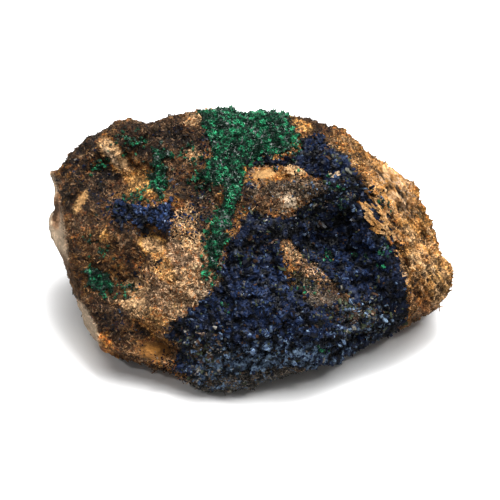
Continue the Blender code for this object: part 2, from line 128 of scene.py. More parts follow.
# Stains on the face, and painted shade in the gully beside the malachite, painted in this order:
# centre u and v, half length, half width, turn in degrees, colour and strength
STAINS_AND_SHADE = (
    (-36, -3, 24, 11, 78, UMBER, 0.75),  # brown left half
    (-38, 4, 6, 4, 60, BROWN, 0.9),
    (-17, -7, 13, 8, 55, TAN, 0.95),  # plateau
    (-16, -10, 7, 4, 60, CREAM, 0.6),  # its bright middle
    (-28, -9, 3.5, 2.4, 70, CREAM, 0.7),
    (-21, -5, 4, 2.6, -60, GOLD, 0.7),
    (-22.5, -17, 3.6, 2, -30, GOLD, 0.6),
    (-11, -12, 4.5, 3, -60, QUARTZ, 0.45),
    (-11.5, -18, 4.5, 1.5, -48, RUST, 0.55),
    (-19, -11, 2.4, 1.2, 20, BROWN, 0.7),
    (-25, -13, 2.2, 1.4, -50, BROWN, 0.7),
    (-10, -5, 1.4, 4.5, 0, BROWN, 0.7),
    (-40, 21, 15, 8, 48, SOOT_AND_SHADE, 0.95),  # dark rim at the upper left
    (-22, 29, 12, 6, 8, UMBER, 0.9),  # top edge beside it
    (-20, 24, 8, 7, 0, SOOT_AND_SHADE, 0.8),
    (-14.5, 32.6, 2.6, 1.2, 15, CREAM, 0.7),
    (-34, 24, 8, 4.0, -47, SOOT_AND_SHADE, 0.5),
    (-34, 24, 6.0, 2.5, -47, OCHRE, 1.0),  # pale pocket in the rim
    (-27, 16.8, 4.5, 2.6, -15, GOLD, 0.95),  # floor of the hollow
    (-33, 16, 3.5, 2.0, 0, BROWN, 0.9),
    (-15.5, 21, 5, 4.5, 0, BROWN, 0.9),
    (-14, 23.5, 1.8, 2.2, 0, CREAM, 0.8),
    (-15, 5.5, 6.5, 4.2, -60, CREAM, 0.9),  # fuzzy bright patch
    (-14.5, 14.5, 6.5, 3.2, -10, SOOT_AND_SHADE, 0.85),  # painted shade of the dark gully between the crusts
    # painted shade to the left of the malachite band
    (-12.3, 8, 1.8, 4.5, 5, SOOT_AND_SHADE, 0.8),
    (-18, 11.5, 1.4, 1.0, 0, RUST, 0.8),
    (44.3, 7, 4, 1.1, -65, MOSS, 0.9),
    (-24.2, 1.5, 3.4, 3.0, -20, GOLD, 1.0),  # bright pocket
    (-36, 3.5, 1.6, 1.6, 0, GOLD, 0.9),
    (-28.8, -13.8, 3.2, 2.4, 0, CREAM, 0.9),
    (-33, -18.5, 8, 3.6, -35, UMBER, 0.9),
    (-36, -24, 4.2, 2.4, -62, OCHRE, 0.95),  # orange corner
    (-31.5, -25, 3.5, 2.5, -30, BROWN, 0.9),
    (-23.7, -25, 4.6, 2.5, -10, BROWN, 1.0),  # ochre pocket
    (4.5, 18.8, 4.6, 1.8, 5, OCHRE, 1.0),  # shelf
    (10.5, 19.3, 3.0, 1.8, -15, CREAM, 0.95),
    (10, 14.6, 13, 2.8, 3, ASH, 0.95),  # stone under the shelf
    (3, 12, 4, 2, 0, BROWN, 0.9),
    (9.8, 12, 2.2, 2.2, 0, QUARTZ, 0.95),  # white chunk
    (21.5, 18.7, 1.8, 0.9, -10, CREAM, 0.9),
    (15.5, -5, 10, 3.2, -42, BROWN, 0.95),  # bare tongue
    (10, -0.5, 3.6, 1.6, -60, CREAM, 0.75),
    (16.5, -6, 4.5, 2.0, -40, TAN, 0.8),
    (13.2, -8.3, 4, 2.0, -35, MOSS, 0.9),
    (21, -10.8, 4, 1.8, -40, BROWN, 0.9),
    (27, -15, 6, 3.5, 0, UMBER, 0.9),
    (10, -22, 26, 12, 0, DRAB, 0.9),  # under the crystals
    (0, -35, 18, 6, 0, DRAB, 1.0),
    (24, 21, 8, 4, -40, ASH, 0.8),
    (12, 33, 9, 3, -16, UMBER, 0.95),  # rusty crest
    (12.8, 31.6, 2.8, 0.9, -25, GOLD, 0.9),
    (38, 7, 28, 11, -62, OCHRE, 0.9),  # right flank
    (20.5, 29.5, 8, 3.0, -38, UMBER, 0.9),
    (27.5, 23.5, 6, 1.0, -48, BROWN, 0.9),
    (35.5, 15.5, 7.5, 4.2, -50, OCHRE, 0.7),
    (35.5, 18, 2.6, 2.0, -40, OCHRE, 0.9),
    (40.5, 4, 5.5, 3.6, -60, GOLD, 0.95),
    (29, 10.5, 3.4, 1.4, -50, CREAM, 0.95),  # bright rib beside the crystals
    (36.5, 2.5, 8.5, 1.6, -62, HONEY, 0.9),
    (37, 7.5, 3, 1.4, 0, RUST, 0.8),
    (43.5, -5.5, 3.4, 2.2, -60, CREAM, 0.7),
    (48, -7, 7.5, 3.2, -70, GOLD, 0.85),  # right end
    (41, -10.5, 4.5, 2.2, 60, BROWN, 0.85),
    (44.5, -14.5, 4, 1.6, 35, TAN, 0.9),
)
# Stains with a crisp edge, given in the same way
CLEAN_STAINS = (
    (-49, 5, 16, 3.0, -81, QUARTZ, 0.95),  # pale flank at the left
    (-48.3, 9.5, 4.6, 1.1, 86, RUST, 0.6),  # cavity in it
    (-48.4, 9.8, 3.2, 0.7, 86, UMBER, 0.8),
    (-42.0, 12.0, 3.4, 1.0, 62, HONEY, 0.9),
    (-34, 24, 5.2, 2.1, -47, CREAM, 0.85),
    (-34.6, 23.4, 2.6, 0.9, -47, QUARTZ, 0.6),
    (-27, 16.8, 3.6, 1.8, -15, GOLD, 0.85),
    (-24.2, 1.6, 3.4, 2.4, -20, GOLD, 1.0),
    (-24.0, 1.2, 2.8, 1.8, -20, CREAM, 0.85),
    (-28.8, -13.6, 2.2, 1.5, -20, CREAM, 0.8),
    (-40.6, -18, 6.5, 1.8, -62, QUARTZ, 0.95),
    (-45, -6, 6, 1.1, -68, BROWN, 0.8),
    (-23.7, -25, 4.2, 2.3, -10, AMBER, 1.0),
    (-24.3, -24.6, 1.8, 0.9, -10, OCHRE, 0.7),
    (3.8, 18.8, 3.2, 1.1, 8, HONEY, 0.9),
    (10.6, 19.6, 2.2, 1.0, -15, CREAM, 0.75),
    (20.8, 18.8, 2.0, 1.4, -10, QUARTZ, 0.9),
    (35.5, 15, 8.5, 4.4, -50, OCHRE, 0.85),  # glassy stretches of the right flank
    (41, 3, 9, 3.2, -62, OCHRE, 0.85),
    (47.4, -9, 6, 2.8, -72, GOLD, 0.9),
    (40.2, 4.2, 5.2, 2.6, -60, OCHRE, 0.9),
    (40.4, 4.8, 4.4, 2.0, -60, RUST, 0.5),
    (41.0, 4.6, 3.0, 1.3, -60, GOLD, 0.9),
    (42.0, -3.4, 3.6, 2.0, -55, CREAM, 0.9),
    (42.8, -11.5, 4.4, 1.9, -70, RUST, 0.8),
    (47.8, -12, 4.4, 1.8, -72, CREAM, 0.8),
    (39.5, 5.5, 3.2, 1.3, -62, GOLD, 0.9),
    (35.0, 18.6, 2.6, 1.5, -45, OCHRE, 0.9),
    (38.0, 13.5, 5.6, 2.6, -58, BROWN, 0.4),
    (38.0, 12.4, 3.0, 1.1, -60, QUARTZ, 0.7),
    (40.4, 15.6, 1.6, 0.8, -50, RUST, 0.8),
    (36.4, 16.4, 1.8, 0.9, -40, RUST, 0.7),
    (41.4, 10.6, 1.8, 0.6, -60, QUARTZ, 0.6),
    (40.6, 2.4, 4.0, 1.2, -62, AMBER, 0.6),
    (48.6, -6.5, 6.0, 2.2, -72, HONEY, 0.8),
    (37.6, -5.5, 2.8, 0.8, -70, QUARTZ, 0.85),
    (38.0, 2.8, 2.6, 1.6, -50, RUST, 0.7),
    (41.5, 2.0, 4.0, 1.4, -68, CREAM, 0.7),
    (41.0, -6.0, 4.0, 1.6, -70, RUST, 0.5),
    (44.6, -3.0, 3.4, 0.9, -65, QUARTZ, 0.6),
    (43.6, 7.5, 4.0, 0.7, -66, MOSS, 0.9),
    (39.4, 9.6, 3.0, 0.6, -40, UMBER, 0.8),
    (9.8, 12, 1.6, 1.8, 20, QUARTZ, 1.0),
    (30.5, 8.6, 5.0, 2.6, -52, HONEY, 0.85),
)

# Bumps and dents of the stone: centre u and v, half length, half width, turn, rise
KNOCKS = (
    (-34, 24, 4.6, 1.8, -47, -0.3),
    (-38, 20, 3, 1.6, 45, -1.4),
    (-30.5, 22, 3.5, 1.2, -52, -1.2),
    (-50, 19.4, 1.3, 1.1, 0, 1.4),
    (-48.6, 16.3, 1.3, 1.5, 0, -0.4),
    (-45.4, 24.6, 1.4, 0.9, 50, 0.9),
    (-43.6, 25.2, 1.2, 0.9, 30, -0.2),
    (-42, 27, 7, 1.6, 48, 0.5),
    (-41.2, 29.0, 1.3, 1.0, 40, 1.0),
    (-36.4, 30.6, 1.6, 1.0, 10, -0.3),
    (-34.0, 32.6, 1.8, 1.0, 0, 0.9),
    (-26.0, 32.2, 2.6, 1.2, 0, -0.2),
    (46, -13.8, 3.4, 2.0, 35, 1.9),
    (50.6, -6, 1.5, 4, 0, 0.6),
    (-50.0, 6.4, 1.0, 1.6, 0, 0.5),
    (-49.4, 10.0, 1.0, 1.6, 0, -0.7),
    (-48.2, 9, 3.4, 0.9, 88, -1.3),
    (-44.6, 13, 5, 0.9, 75, 1.3),
    (10.5, 19.6, 2.6, 1.2, -15, 1.3),
    (9.8, 12, 1.8, 1.6, 20, 1.2),
    (21.5, 18.7, 1.4, 0.7, -10, 1.6),
    (29, 10.5, 3.4, 0.9, -50, 1.4),
    (36.5, 2.5, 8.5, 0.9, -62, 1.3),
    (33, 7, 8, 1.2, -58, -1.2),
    (30, 15, 7, 0.8, -50, 0.9),
    (33, 17, 6, 0.9, -50, -0.9),
    (-23.7, -25, 3.6, 1.6, -10, -1.0),
    (-24.2, 1.2, 3.4, 2.6, -20, 1.4),
    (4.5, 18.8, 3.4, 1.2, 5, -0.6),
    (15.5, -5, 7, 1.1, -42, 0.8),
    (-36, -24, 3, 1.4, -62, 1.0),
)
# Faces of the stone that broke clean: centre u and v, half sizes, turn
SMOOTH = (
    (-48.8, 8, 14, 2.4, -80),
    (-40.4, -18, 6, 1.8, -62),
    (-23.7, -25, 3.6, 2.0, -10),
    (-36, -24, 3.6, 2.0, -62),
    (4.5, 18.8, 3.2, 1.5, 5),
    (36, 15, 7, 3.6, -50),
)
# Where the stone's surface is broken into long splinters: centre u and v, half sizes, turn
SPLINTERED = ((37, 9, 26, 10, -58),)
SPLINTER_TURN = math.radians(-55)
# Where pale veins net the stone, given in the same way
VEINED = (35.5, 15, 8.5, 4.5, -50)

# Dusty stretches of the azurite: centre u and v, half length, half width, turn, strength
DUSTY = (
    (4, -27.5, 16, 6.0, 6, 1.05),
    (-2, -30, 12, 5, 0, 0.5),
    (27, -15, 6, 3, 0, 0.4),
    (-4, -33.5, 12, 3.5, 4, 0.9),
    (13, 14, 10, 3, 0, 0.4),
    (26, -21, 12, 4, 25, 0.4),
)
# Its brightest blue, given in the same way
VIVID = (
    (2, -13, 15, 14, 0, 0.45),
    (-12, -31, 6, 4, 0, 1.0),
    (8, -26, 18, 6, 10, 1.0),
    (-22, 9, 12, 5, -10, 0.8),
    (20, 22, 8, 5, -40, 0.35),
    (27, -4, 9, 9, 0, 0.4),
)
# Where it is soiled brown and grey, given in the same way
SOILED = (
    (-12.5, -25.5, 6.5, 4.5, -40, 1.0),
    (-3, -33, 12, 2.2, 0, 0.35),
    (15.5, -7, 12, 5, -42, 0.5),
    (26, -16, 8, 4, 0, 0.75),
    (10, 11, 12, 4.5, 0, 0.6),
    (4, 1, 5, 4, 0, 0.35),
    (24, 21, 7, 4, -40, 0.4),
)
# Loose azurite on the stone: centre u and v, half sizes, turn, number of crystals
AZURITE_SPECKS = (
    (16.5, -5, 1.0, 8.5, 50, 130),
    (12, -11, 1.4, 6, 20, 60),
    (-10, 28.5, 3.0, 2.6, 0, 120),
    (-31, 10.5, 5.5, 3.2, -10, 320),
    (-20, 7.5, 6.5, 3.8, -12, 520),
    (-11.8, 11, 2.4, 6.5, 6, 620),
    (-10.6, 26, 1.5, 3.6, 0, 260),
    (-5, 6, 2.2, 6, -22, 520),
    (-6.6, -3, 1.4, 4.5, 0, 280),
    (-4, -11, 2, 4, -35, 120),
    (-36, 14, 4, 2.5, -20, 80),
    (-3, -33.2, 14, 2.4, 0, 1300),
    (-11, -32, 4, 3, 0, 400),
    (-20, -29.5, 4, 1.5, -30, 120),
    (30.5, 20.5, 0.6, 0.6, 0, 3),
    (29.5, 18.5, 0.6, 0.6, 0, 3),
    (31.8, 13.8, 2.0, 0.8, -50, 14),
    (44, -1.5, 0.6, 0.6, 0, 4),
    (-30, -6, 4.5, 5.5, 0, 60),
    (-24, -4, 3, 3, 0, 20),
    (-12, 1.5, 2.5, 3, 0, 25),
    (-16, 18, 5, 3.5, 20, 60),
    (11, 14, 11, 3.5, 3, 110),
    (-1, 15, 2, 4.5, 0, 80),
    (14, 17.5, 5, 1.5, -20, 70),
    (18.5, 13.4, 4.5, 2.8, -15, 240),
    (6, 23.2, 7, 1.3, -3, 200),
    (27, -15, 6, 3, 0, 90),
    (15.5, -6, 9, 3.4, -42, 110),
    (-19, -27.5, 5, 3, -30, 90),
    (-33, -18, 6, 3, -35, 70),
    (-40, 22, 9, 5, 48, 170),
    (-22, 29, 8, 3, 8, 90),
    (20, 26.5, 5, 2.5, -35, 60),
)
# Loose malachite on the stone and the crusts, given in the same way
MALACHITE_SPECKS = (
    (-9, 3, 1.8, 8, -10, 190),
    (-9.4, -2, 1.8, 4.5, -6, 100),
    (-11, 17, 2.5, 2.5, 0, 50),
    (0.5, 21.5, 5, 1.6, 0, 60),
    (11, 26, 1.6, 4, 0, 50),
    (6, 23.4, 5, 1.2, 0, 40),
    (19.5, 16.5, 1.7, 1.2, -30, 16),
    (21.6, 15.4, 1.6, 1.0, -50, 14),
    (22.8, 11.8, 1.0, 1.6, 0, 14),
    (33.5, -0.2, 1.6, 1.2, 0, 14),
    (32, -4, 1.0, 0.9, 0, 6),
    (18.8, -1.2, 1.8, 1.6, 0, 16),
    (25.5, -1.2, 1.2, 0.9, 0, 9),
    (29.2, -1.8, 0.8, 0.7, 0, 5),
    (14.5, -9.5, 3.0, 2.0, -30, 16),
    (-6, -14, 1.2, 1.0, 0, 6),
    (18, -24.2, 1.6, 0.8, -20, 8),
    (-2.4, -3.2, 1.0, 0.8, 0, 5),
    (33, 11.5, 2.6, 0.9, -55, 12),
    (-27.5, 13.8, 5.0, 1.4, 28, 40),
    (-30.6, -9.9, 2.2, 1.8, 0, 34),
    (-36, -0.5, 2.4, 1.8, 0, 16),
    (-39.2, 2.8, 1.6, 1.0, 0, 8),
    (-38, 21, 2.4, 1.6, 40, 34),
    (-30, 27, 5.0, 2.5, 20, 50),
    (-14, 24, 3.5, 3.0, 0, 40),
    (-5, 13, 3.0, 4.0, 0, 26),
    (-28, 13, 6.0, 1.6, 24, 60),
    (-12, 17, 3.0, 3.0, 0, 30),
)
# Pale crumbs that lie on the crusts, given in the same way
CRUMB_SPECKS = (
    (-2, -32, 14, 2.2, -3, 160),
    (-6, -25, 6, 1.2, -15, 40),
    (27, -15, 6, 3, 0, 90),
    (10, 14, 12, 4, 3, 110),
    (16, -6, 9, 4, -42, 90),
)
# Broken chunks of stone: centre u and v, length, width, height and turn in degrees
CHUNKS = (
    (28.0, 10.2, 4.2, 1.2, 1.8, -58),  # bright ribs beside the crystals
    (29.6, 7.6, 3.2, 1.5, 1.7, -44),
    (31.6, 5.4, 4.0, 2.2, 1.8, -35),
    (31.6, 10.0, 4.6, 1.1, 1.9, -50),
    (33.4, 7.0, 3.8, 1.6, 1.8, -62),
    (30.4, 12.8, 2.4, 0.8, 1.4, -40),
    (29.6, 13.6, 3.6, 0.8, 0.9, -50),
    (34.0, 3.6, 3.6, 1.8, 1.3, -48),
    (36.6, -1.5, 3.0, 1.4, 1.2, -60),
    (10.2, 19.6, 2.4, 1.6, 1.4, -15),  # end of the shelf
    (12.6, 18.9, 1.6, 1.0, 1.2, 20),
    (7.6, 20.3, 1.4, 0.9, 0.9, 30),
    (20.9, 18.6, 2.9, 1.3, 1.3, 12),
    (8.6, 11.3, 2.6, 1.9, 1.4, 55),  # white chunk
    (10.6, 10.0, 1.5, 1.0, 1.0, 10),
    (-42.0, 12.0, 4.6, 1.0, 1.0, 62),  # pale edge at the left
    (-37.2, -21.6, 3.4, 1.6, 1.0, -62),  # orange corner
    (-10.5, -20.6, 4.0, 0.6, 0.7, 4),
    (-7.4, -22.8, 1.6, 0.9, 0.8, -50),
    (-3.6, -34.4, 2.0, 0.9, 0.8, 45),
    (-15.2, 32.4, 2.2, 1.2, 1.0, 15),
    (-22.5, -16.5, 2.4, 1.2, 0.9, -20),
    (25.5, -18.0, 1.6, 0.8, 0.7, 35),
)
# Splinters of each chunk, how widely they spread along it, their least and greatest sizes as
# parts of the chunk's, and how much they twist and lean at random
CHUNK_SPLINTERS = 8
CHUNK_SPREAD = 0.7
LEAST_SPLINTER = (0.45, 0.22, 0.4)
GREATEST_SPLINTER = (0.95, 0.5, 0.8)
SPLINTER_TWIST = 0.2
SPLINTER_LEAN = 0.25

# Stone
BASE_HEIGHT = 0.3 * MM  # anything lower belongs to the flat base
FACING = 0.05  # faces that look forward more than this are halved,
BARE_DISTANCE = 0.7 * MM  # if they are this far from a crust
SMOOTHING = 0.85  # how much of the relief the clean faces lose
CALM_REACH, CALM = 0.9, 0.35  # how near a crust the relief is calmer, in millimetres, and what is left of it
SHADED_REACH = 3.0 * MM  # how near a crust the stone is shaded
WEIGHT_STEPS = 5
FINE_CHIPS = 0.45  # depth of the finest chips, as a part of that of the chips
CRACKED = {"weight_1": -1.0, "weight_2": 1.0}  # makes a cell texture fall at its cells' edges
SPLINTER_STRETCH = (3.0, 0.9, 1.6)  # of the splinters' texture, along, across and out of the face
RAISED_LIGHT = 1.45  # how much paler the raised parts are painted, a painted highlight
BUMP = 0.8 * MM

# Stains: their edges' softness, how far they waver and fray, how raggedly they end at the back
STAIN_EDGE = 0.22
WOBBLE = 9.0
FRAYING = 2.6
RAGGED = 26.0
STAIN_DEPTHS = (-6.0, -2.0)
RUST_TINT = (1.35, 0.75, 0.35)
DEEP_TINT = (1.0, 0.86, 0.68)

# Beds of the crusts, and places on them and around them
BED_VOXEL = 0.47 * MM
BED_TONE = 0.6
TRIES_PER_SQUARE_MM = 9
OUTER_SIDE = -0.3  # places of a bed that look at the stone more than this are left out
FRINGE_START = 0.3 * MM
FRINGE_FALL = 2.5
LOOSE_SPACING = 0.4 * MM
STRETCH = (0.75, 1.3)  # least and greatest stretch of a planted shape along each axis
# Marks of the azurite: attribute, table of patches and its value outside them
AZURITE_MARKS = (("dust", DUSTY, 0.05), ("vivid", VIVID, 0.2), ("soil", SOILED, 0.08))
# Habits of planted shapes: evenness of size, least and greatest size, tilt, depth they are sunk.
# Growth of a mineral: slot, random seed, nodes and marks; name and habit of the crystals on its
# beds; then name, relative size and habit of the loose ones, tries near the beds, how far out they
# reach, table of specks and how far those are lifted
AZURITE_GROWTH = (
    ("azurite", 21, AZURITE_NODES, AZURITE_MARKS),
    ("azurite_crystals", (9, 0.45, 1.7, 0.55, 0.15)),
    ("azurite_loose_crystals", 0.7, (7, 0.4, 1.6, 0.6, 0.12), 34000, 4.0, AZURITE_SPECKS, 0),
)
MALACHITE_GROWTH = (
    ("malachite", 22, MALACHITE_NODES, ()),
    ("malachite_tufts", (9, 0.5, 1.5, 0.45, 0.1)),
    ("malachite_loose_tufts", 0.75, (7, 0.5, 1.5, 0.5, 0.1), 26000, 2.4, MALACHITE_SPECKS, 0.5),
)
GRAIN_SEED = 23
GRAIN_HABIT = (5, 0.4, 2.0, 0.35, 0.05)
FIBRE_HABIT = (6, 0.4, 1.8, 0.25, 0.0)
LOWEST_GRAIN = 0.8 * MM
GRAIN_FACING = -0.1  # places that look forward more than this are on the display side
SMOOTH_LIMIT = 0.9  # clean faces carry no grains where their weight is above this
CRUMB_LIFT = 0.4

# Azurite forms: sides, radius, flattening, tip's width and depth, shift of the tip, slant of the end
AZURITE_FORMS = (
    (6, 0.42, 0.62, 0.55, 0.9, 0.06, 0.5),
    (4, 0.46, 0.70, 0.80, 0.7, -0.05, 0.8),
    (6, 0.36, 0.80, 0.70, 0.5, 0.10, 0.3),
    (5, 0.50, 0.45, 0.60, 0.8, 0.00, 0.65),
)
TUFT_SEEDS = (11, 12, 13)
# Grain forms: whether round, and the three sizes; the slivers lie along X
GRAIN_FORMS = (
    (True, 1.0, 0.8, 0.9),
    (False, 0.9, 0.7, 0.7),
    (False, 2.2, 0.32, 0.32),
    (False, 2.6, 0.28, 0.40),
    (False, 1.8, 0.26, 0.30),
)
# Needle forms: length and width
FIBRE_FORMS = ((3.4, 0.62), (2.6, 0.72), (4.2, 0.55), (1.8, 0.8))

FLOOR_SIZE = 6
# Lamps: name, place, size and power
STUDIO_LIGHTS = (
    ("overhead_softbox", (0.14, -0.05, 1.00), 1.00, 19.0),
    ("key_light", (0.12, 0.06, 0.95), 0.40, 9.5),
    ("glint_left", (-0.45, -0.35, 0.65), 0.03, 0.8),
    ("glint_right", (0.40, -0.30, 0.70), 0.03, 1.1),
)


# ---------------------------------------------------------------- settings


class StoneSettings(bpy.types.PropertyGroup):
    voxel: FloatProperty(
        name="Voxel", description="Grid the rough stone is rebuilt on", default=0.72 * MM, unit="LENGTH"
    )
    crag_depth: FloatProperty(
        name="Crag depth", description="Depth of the broken blocks", default=2.6 * MM, unit="LENGTH"
    )
    chip_depth: FloatProperty(
        name="Chip depth", description="Depth of the angular chips", default=2.0 * MM, unit="LENGTH"
    )
    grit_depth: FloatProperty(
        name="Grit depth", description="Depth of the fine grit", default=0.5 * MM, unit="LENGTH"
    )
    splinter_depth: FloatProperty(
        name="Splinter depth", description="Depth of the splintered flank", default=1.9 * MM, unit="LENGTH"
    )


class GrainSettings(bpy.types.PropertyGroup):
    size: FloatProperty(
        name="Grain size", description="Mean width of a loose grain", default=0.36 * MM, unit="LENGTH"
    )
    count: IntProperty(name="Grains", description="Grains on the display side", default=11600, min=1)
    back_count: IntProperty(name="Back grains", description="Grains on the back", default=1500, min=1)
    fibre_size: FloatProperty(
        name="Needle size", description="A third of a needle's mean length", default=0.33 * MM, unit="LENGTH"
    )
    fibre_count: IntProperty(name="Needles", description="Needles on the display side", default=34000, min=1)
    fibre_back_count: IntProperty(name="Needles behind", description="Needles elsewhere", default=3000, min=1)


class AzuriteSettings(bpy.types.PropertyGroup):
    size: FloatProperty(
        name="Crystal size", description="Mean length of an azurite crystal", default=0.95 * MM, unit="LENGTH"
    )
    spacing: FloatProperty(
        name="Spacing", description="Least distance between two crystals", default=0.42 * MM, unit="LENGTH"
    )
    deep: FloatVectorProperty(
        name="Deep blue", description="Colour of the darkest crystals", default=(0.0010, 0.0013, 0.0035),
        subtype="COLOR", size=3,
    )
    bright: FloatVectorProperty(
        name="Bright blue", description="Colour of the brightest crystals", default=(0.018, 0.038, 0.110),
        subtype="COLOR", size=3,
    )
    dust: FloatVectorProperty(
        name="Dust", description="Colour of dust on the crystals", default=(0.125, 0.180, 0.250),
        subtype="COLOR", size=3,
    )


class MalachiteSettings(bpy.types.PropertyGroup):
    size: FloatProperty(
        name="Tuft size", description="Mean width of a malachite tuft", default=1.0 * MM, unit="LENGTH"
    )
    spacing: FloatProperty(
        name="Spacing", description="Least distance between two tufts", default=0.52 * MM, unit="LENGTH"
    )
    # a tuft is painted from the deep colour at its root, a painted shade, to the tip colour at its tips, a
    # painted highlight
    deep: FloatVectorProperty(
        name="Deep green", description="Colour at a tuft's root", default=(0.0008, 0.010, 0.005),
        subtype="COLOR", size=3,
    )
    tip: FloatVectorProperty(
        name="Tip green", description="Colour at a tuft's tips", default=(0.058, 0.56, 0.245),
        subtype="COLOR", size=3,
    )


class StageSettings(bpy.types.PropertyGroup):
    distance: FloatProperty(
        name="Camera distance", description="From the camera to the face", default=0.8, unit="LENGTH"
    )
    view_width: FloatProperty(
        name="View width", description="Width that the picture covers", default=0.125, unit="LENGTH"
    )
    floor_colour: FloatVectorProperty(
        name="Floor", description="Colour of the floor", default=(0.93, 0.93, 0.93), subtype="COLOR", size=3
    )
    fill: FloatProperty(name="Fill light", description="Strength of the light from all round", default=0.20)
    bounce: FloatProperty(name="Bounce", description="How much light the floor throws back up", default=0.42)


# ---------------------------------------------------------------- the face's frame


def to_face(points):
    """Face-frame coordinates, in millimetres, of points of the world, in metres."""
    x, y, z = (np.asarray(points) / MM).reshape(-1, 3).T
    z = z - FACE_HEIGHT
    return np.stack([x, y * LEAN_SIN + z * LEAN_COS, -y * LEAN_COS + z * LEAN_SIN], axis=1)


def from_face(u, v, w):
    y, z = v * LEAN_SIN - w * LEAN_COS, v * LEAN_COS + w * LEAN_SIN + FACE_HEIGHT
    return Vector((u, y, z)) * MM


def seen_through(u, v, surface):
    """The place where a line of sight through the face meets a surface, and the normal there."""
    return surface.ray_cast(from_face(u, v, SIGHT_START), -FACE_OUT)[:2]


def beside(u, v, along, across, angle):
    """The point of the face that lies along and across from u and v, on axes turned by an angle."""
    c, s = math.cos(angle), math.sin(angle)
    return u + along * c - across * s, v + along * s + across * c


def patch_weight(face, patch):
    """1 in the middle of an elliptical patch of the face, 0 well outside it."""
    u0, v0, half_length, half_width, turn = patch[:5]
    c, s = math.cos(math.radians(turn)), math.sin(math.radians(turn))
    along = ((face[:, 0] - u0) * c + (face[:, 1] - v0) * s) / half_length
    across = (-(face[:, 0] - u0) * s + (face[:, 1] - v0) * c) / half_width
    return np.exp(-PATCH_FALL * (along**2 + across**2)) * (face[:, 2] > DISPLAY_DEPTH)


def patches_weight(face, patches):
    return np.clip(sum(patch_weight(face, patch) for patch in patches) * PATCH_GAIN, 0, 1)


# ---------------------------------------------------------------- meshes


def work_on(obj):
    bpy.ops.object.select_all(action="DESELECT")
    obj.select_set(True)
    bpy.context.view_layer.objects.active = obj


def edit(obj):
    work_on(obj)
    bpy.ops.object.mode_set(mode="EDIT")
    bpy.ops.mesh.select_all(action="SELECT")


def leave_edit():
    bpy.ops.object.mode_set(mode="OBJECT")


def new_object(name, mesh):
    obj = bpy.data.objects.new(name, mesh)
    bpy.context.collection.objects.link(obj)
    return obj


def remove(objects):
    for obj in objects:
        bpy.data.objects.remove(obj)


def joined(objects, name):
    """One object made of several."""
    work_on(objects[0])
    for obj in objects:
        obj.select_set(True)
    bpy.ops.object.join()
    bpy.context.object.name = name
    return bpy.context.object


def copy_of_node(node, name):
    """An object with a welded copy of a frame node's mesh."""
    mesh = frame["nodes"][node].data.copy()
    mesh.materials.clear()
    obj = new_object(name, mesh)
    edit(obj)
    bpy.ops.mesh.remove_doubles(threshold=WELD)
    leave_edit()
    return obj


def add_modifier(obj, kind, **values):
    modifier = obj.modifiers.new(kind.lower(), kind)
    for name, value in values.items():
        setattr(modifier, name, value)


def apply_modifiers(obj):
    work_on(obj)
    for modifier in list(obj.modifiers):
        bpy.ops.object.modifier_apply(modifier=modifier.name)


def remesh(obj, voxel, smoothing):
    """Rebuilds a shape on a fine grid, and rounds the steps of the grid."""
    add_modifier(obj, "REMESH", mode="VOXEL", voxel_size=voxel)
    add_modifier(obj, "SMOOTH", factor=0.5, iterations=smoothing)
    apply_modifiers(obj)


def relief(obj, kind, size, depth, texture_values, **values):
    """Raises and lowers the surface along its normals by a procedural texture."""
    texture = bpy.data.textures.new(f"{obj.name} {kind.lower()}", kind)
    texture.noise_scale = size * MM
    for name, value in texture_values.items():
        setattr(texture, name, value)
    add_modifier(obj, "DISPLACE", texture=texture, strength=depth, **values)
    apply_modifiers(obj)
    bpy.data.textures.remove(texture)


def vectors_of(items, name):
    flat = np.empty(len(items) * 3, np.float32)
    items.foreach_get(name, flat)
    return flat.reshape(-1, 3).astype(float)


def positions(mesh):
    return vectors_of(mesh.vertices, "co")


def set_positions(mesh, points):
    mesh.vertices.foreach_set("co", np.asarray(points, np.float32).ravel())
    mesh.update()


def set_attribute(mesh, name, values):
    made = mesh.attributes.new(name, "FLOAT", "POINT")
    made.data.foreach_set("value", np.asarray(values, np.float32))


def tree_of(objects):
    """A search tree over the faces of several objects."""
    points, faces = [], []
    for obj in objects:
        first = len(points)
        points.extend(vert.co[:] for vert in obj.data.vertices)
        faces.extend([first + index for index in polygon.vertices] for polygon in obj.data.polygons)
    return BVHTree.FromPolygons(points, faces)


def tree_of_crusts():
    return tree_of([frame["nodes"][name] for name in AZURITE_NODES + MALACHITE_NODES])


def dress(obj, material, slot, *nodes):
    """Gives a piece its material, the body it rides on and the nodes it stands in for."""
    obj.data.materials.append(material)
    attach(obj, BODY)
    if nodes:
        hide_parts(*nodes)


# ---------------------------------------------------------------- scattering


def surface_samples(obj, count, rng):
    """Random points and normals spread evenly over an object's faces."""
    mesh = obj.data
    mesh.calc_loop_triangles()
    corners = np.empty(len(mesh.loop_triangles) * 3, np.int32)
    mesh.loop_triangles.foreach_get("vertices", corners)
    start, second_corner, third_corner = positions(mesh)[corners.reshape(-1, 3)].transpose(1, 0, 2)
    first_side, second_side = second_corner - start, third_corner - start
    cross = np.cross(first_side, second_side)
    areas = np.linalg.norm(cross, axis=1)
    picked = rng.choice(len(areas), size=count, p=areas / areas.sum())
    first, second = rng.random(count), rng.random(count)
    over = first + second > 1
    first[over], second[over] = 1 - first[over], 1 - second[over]
    points = start[picked] + first_side[picked] * first[:, None] + second_side[picked] * second[:, None]
    return points, cross[picked] / np.maximum(areas[picked], TINY)[:, None]


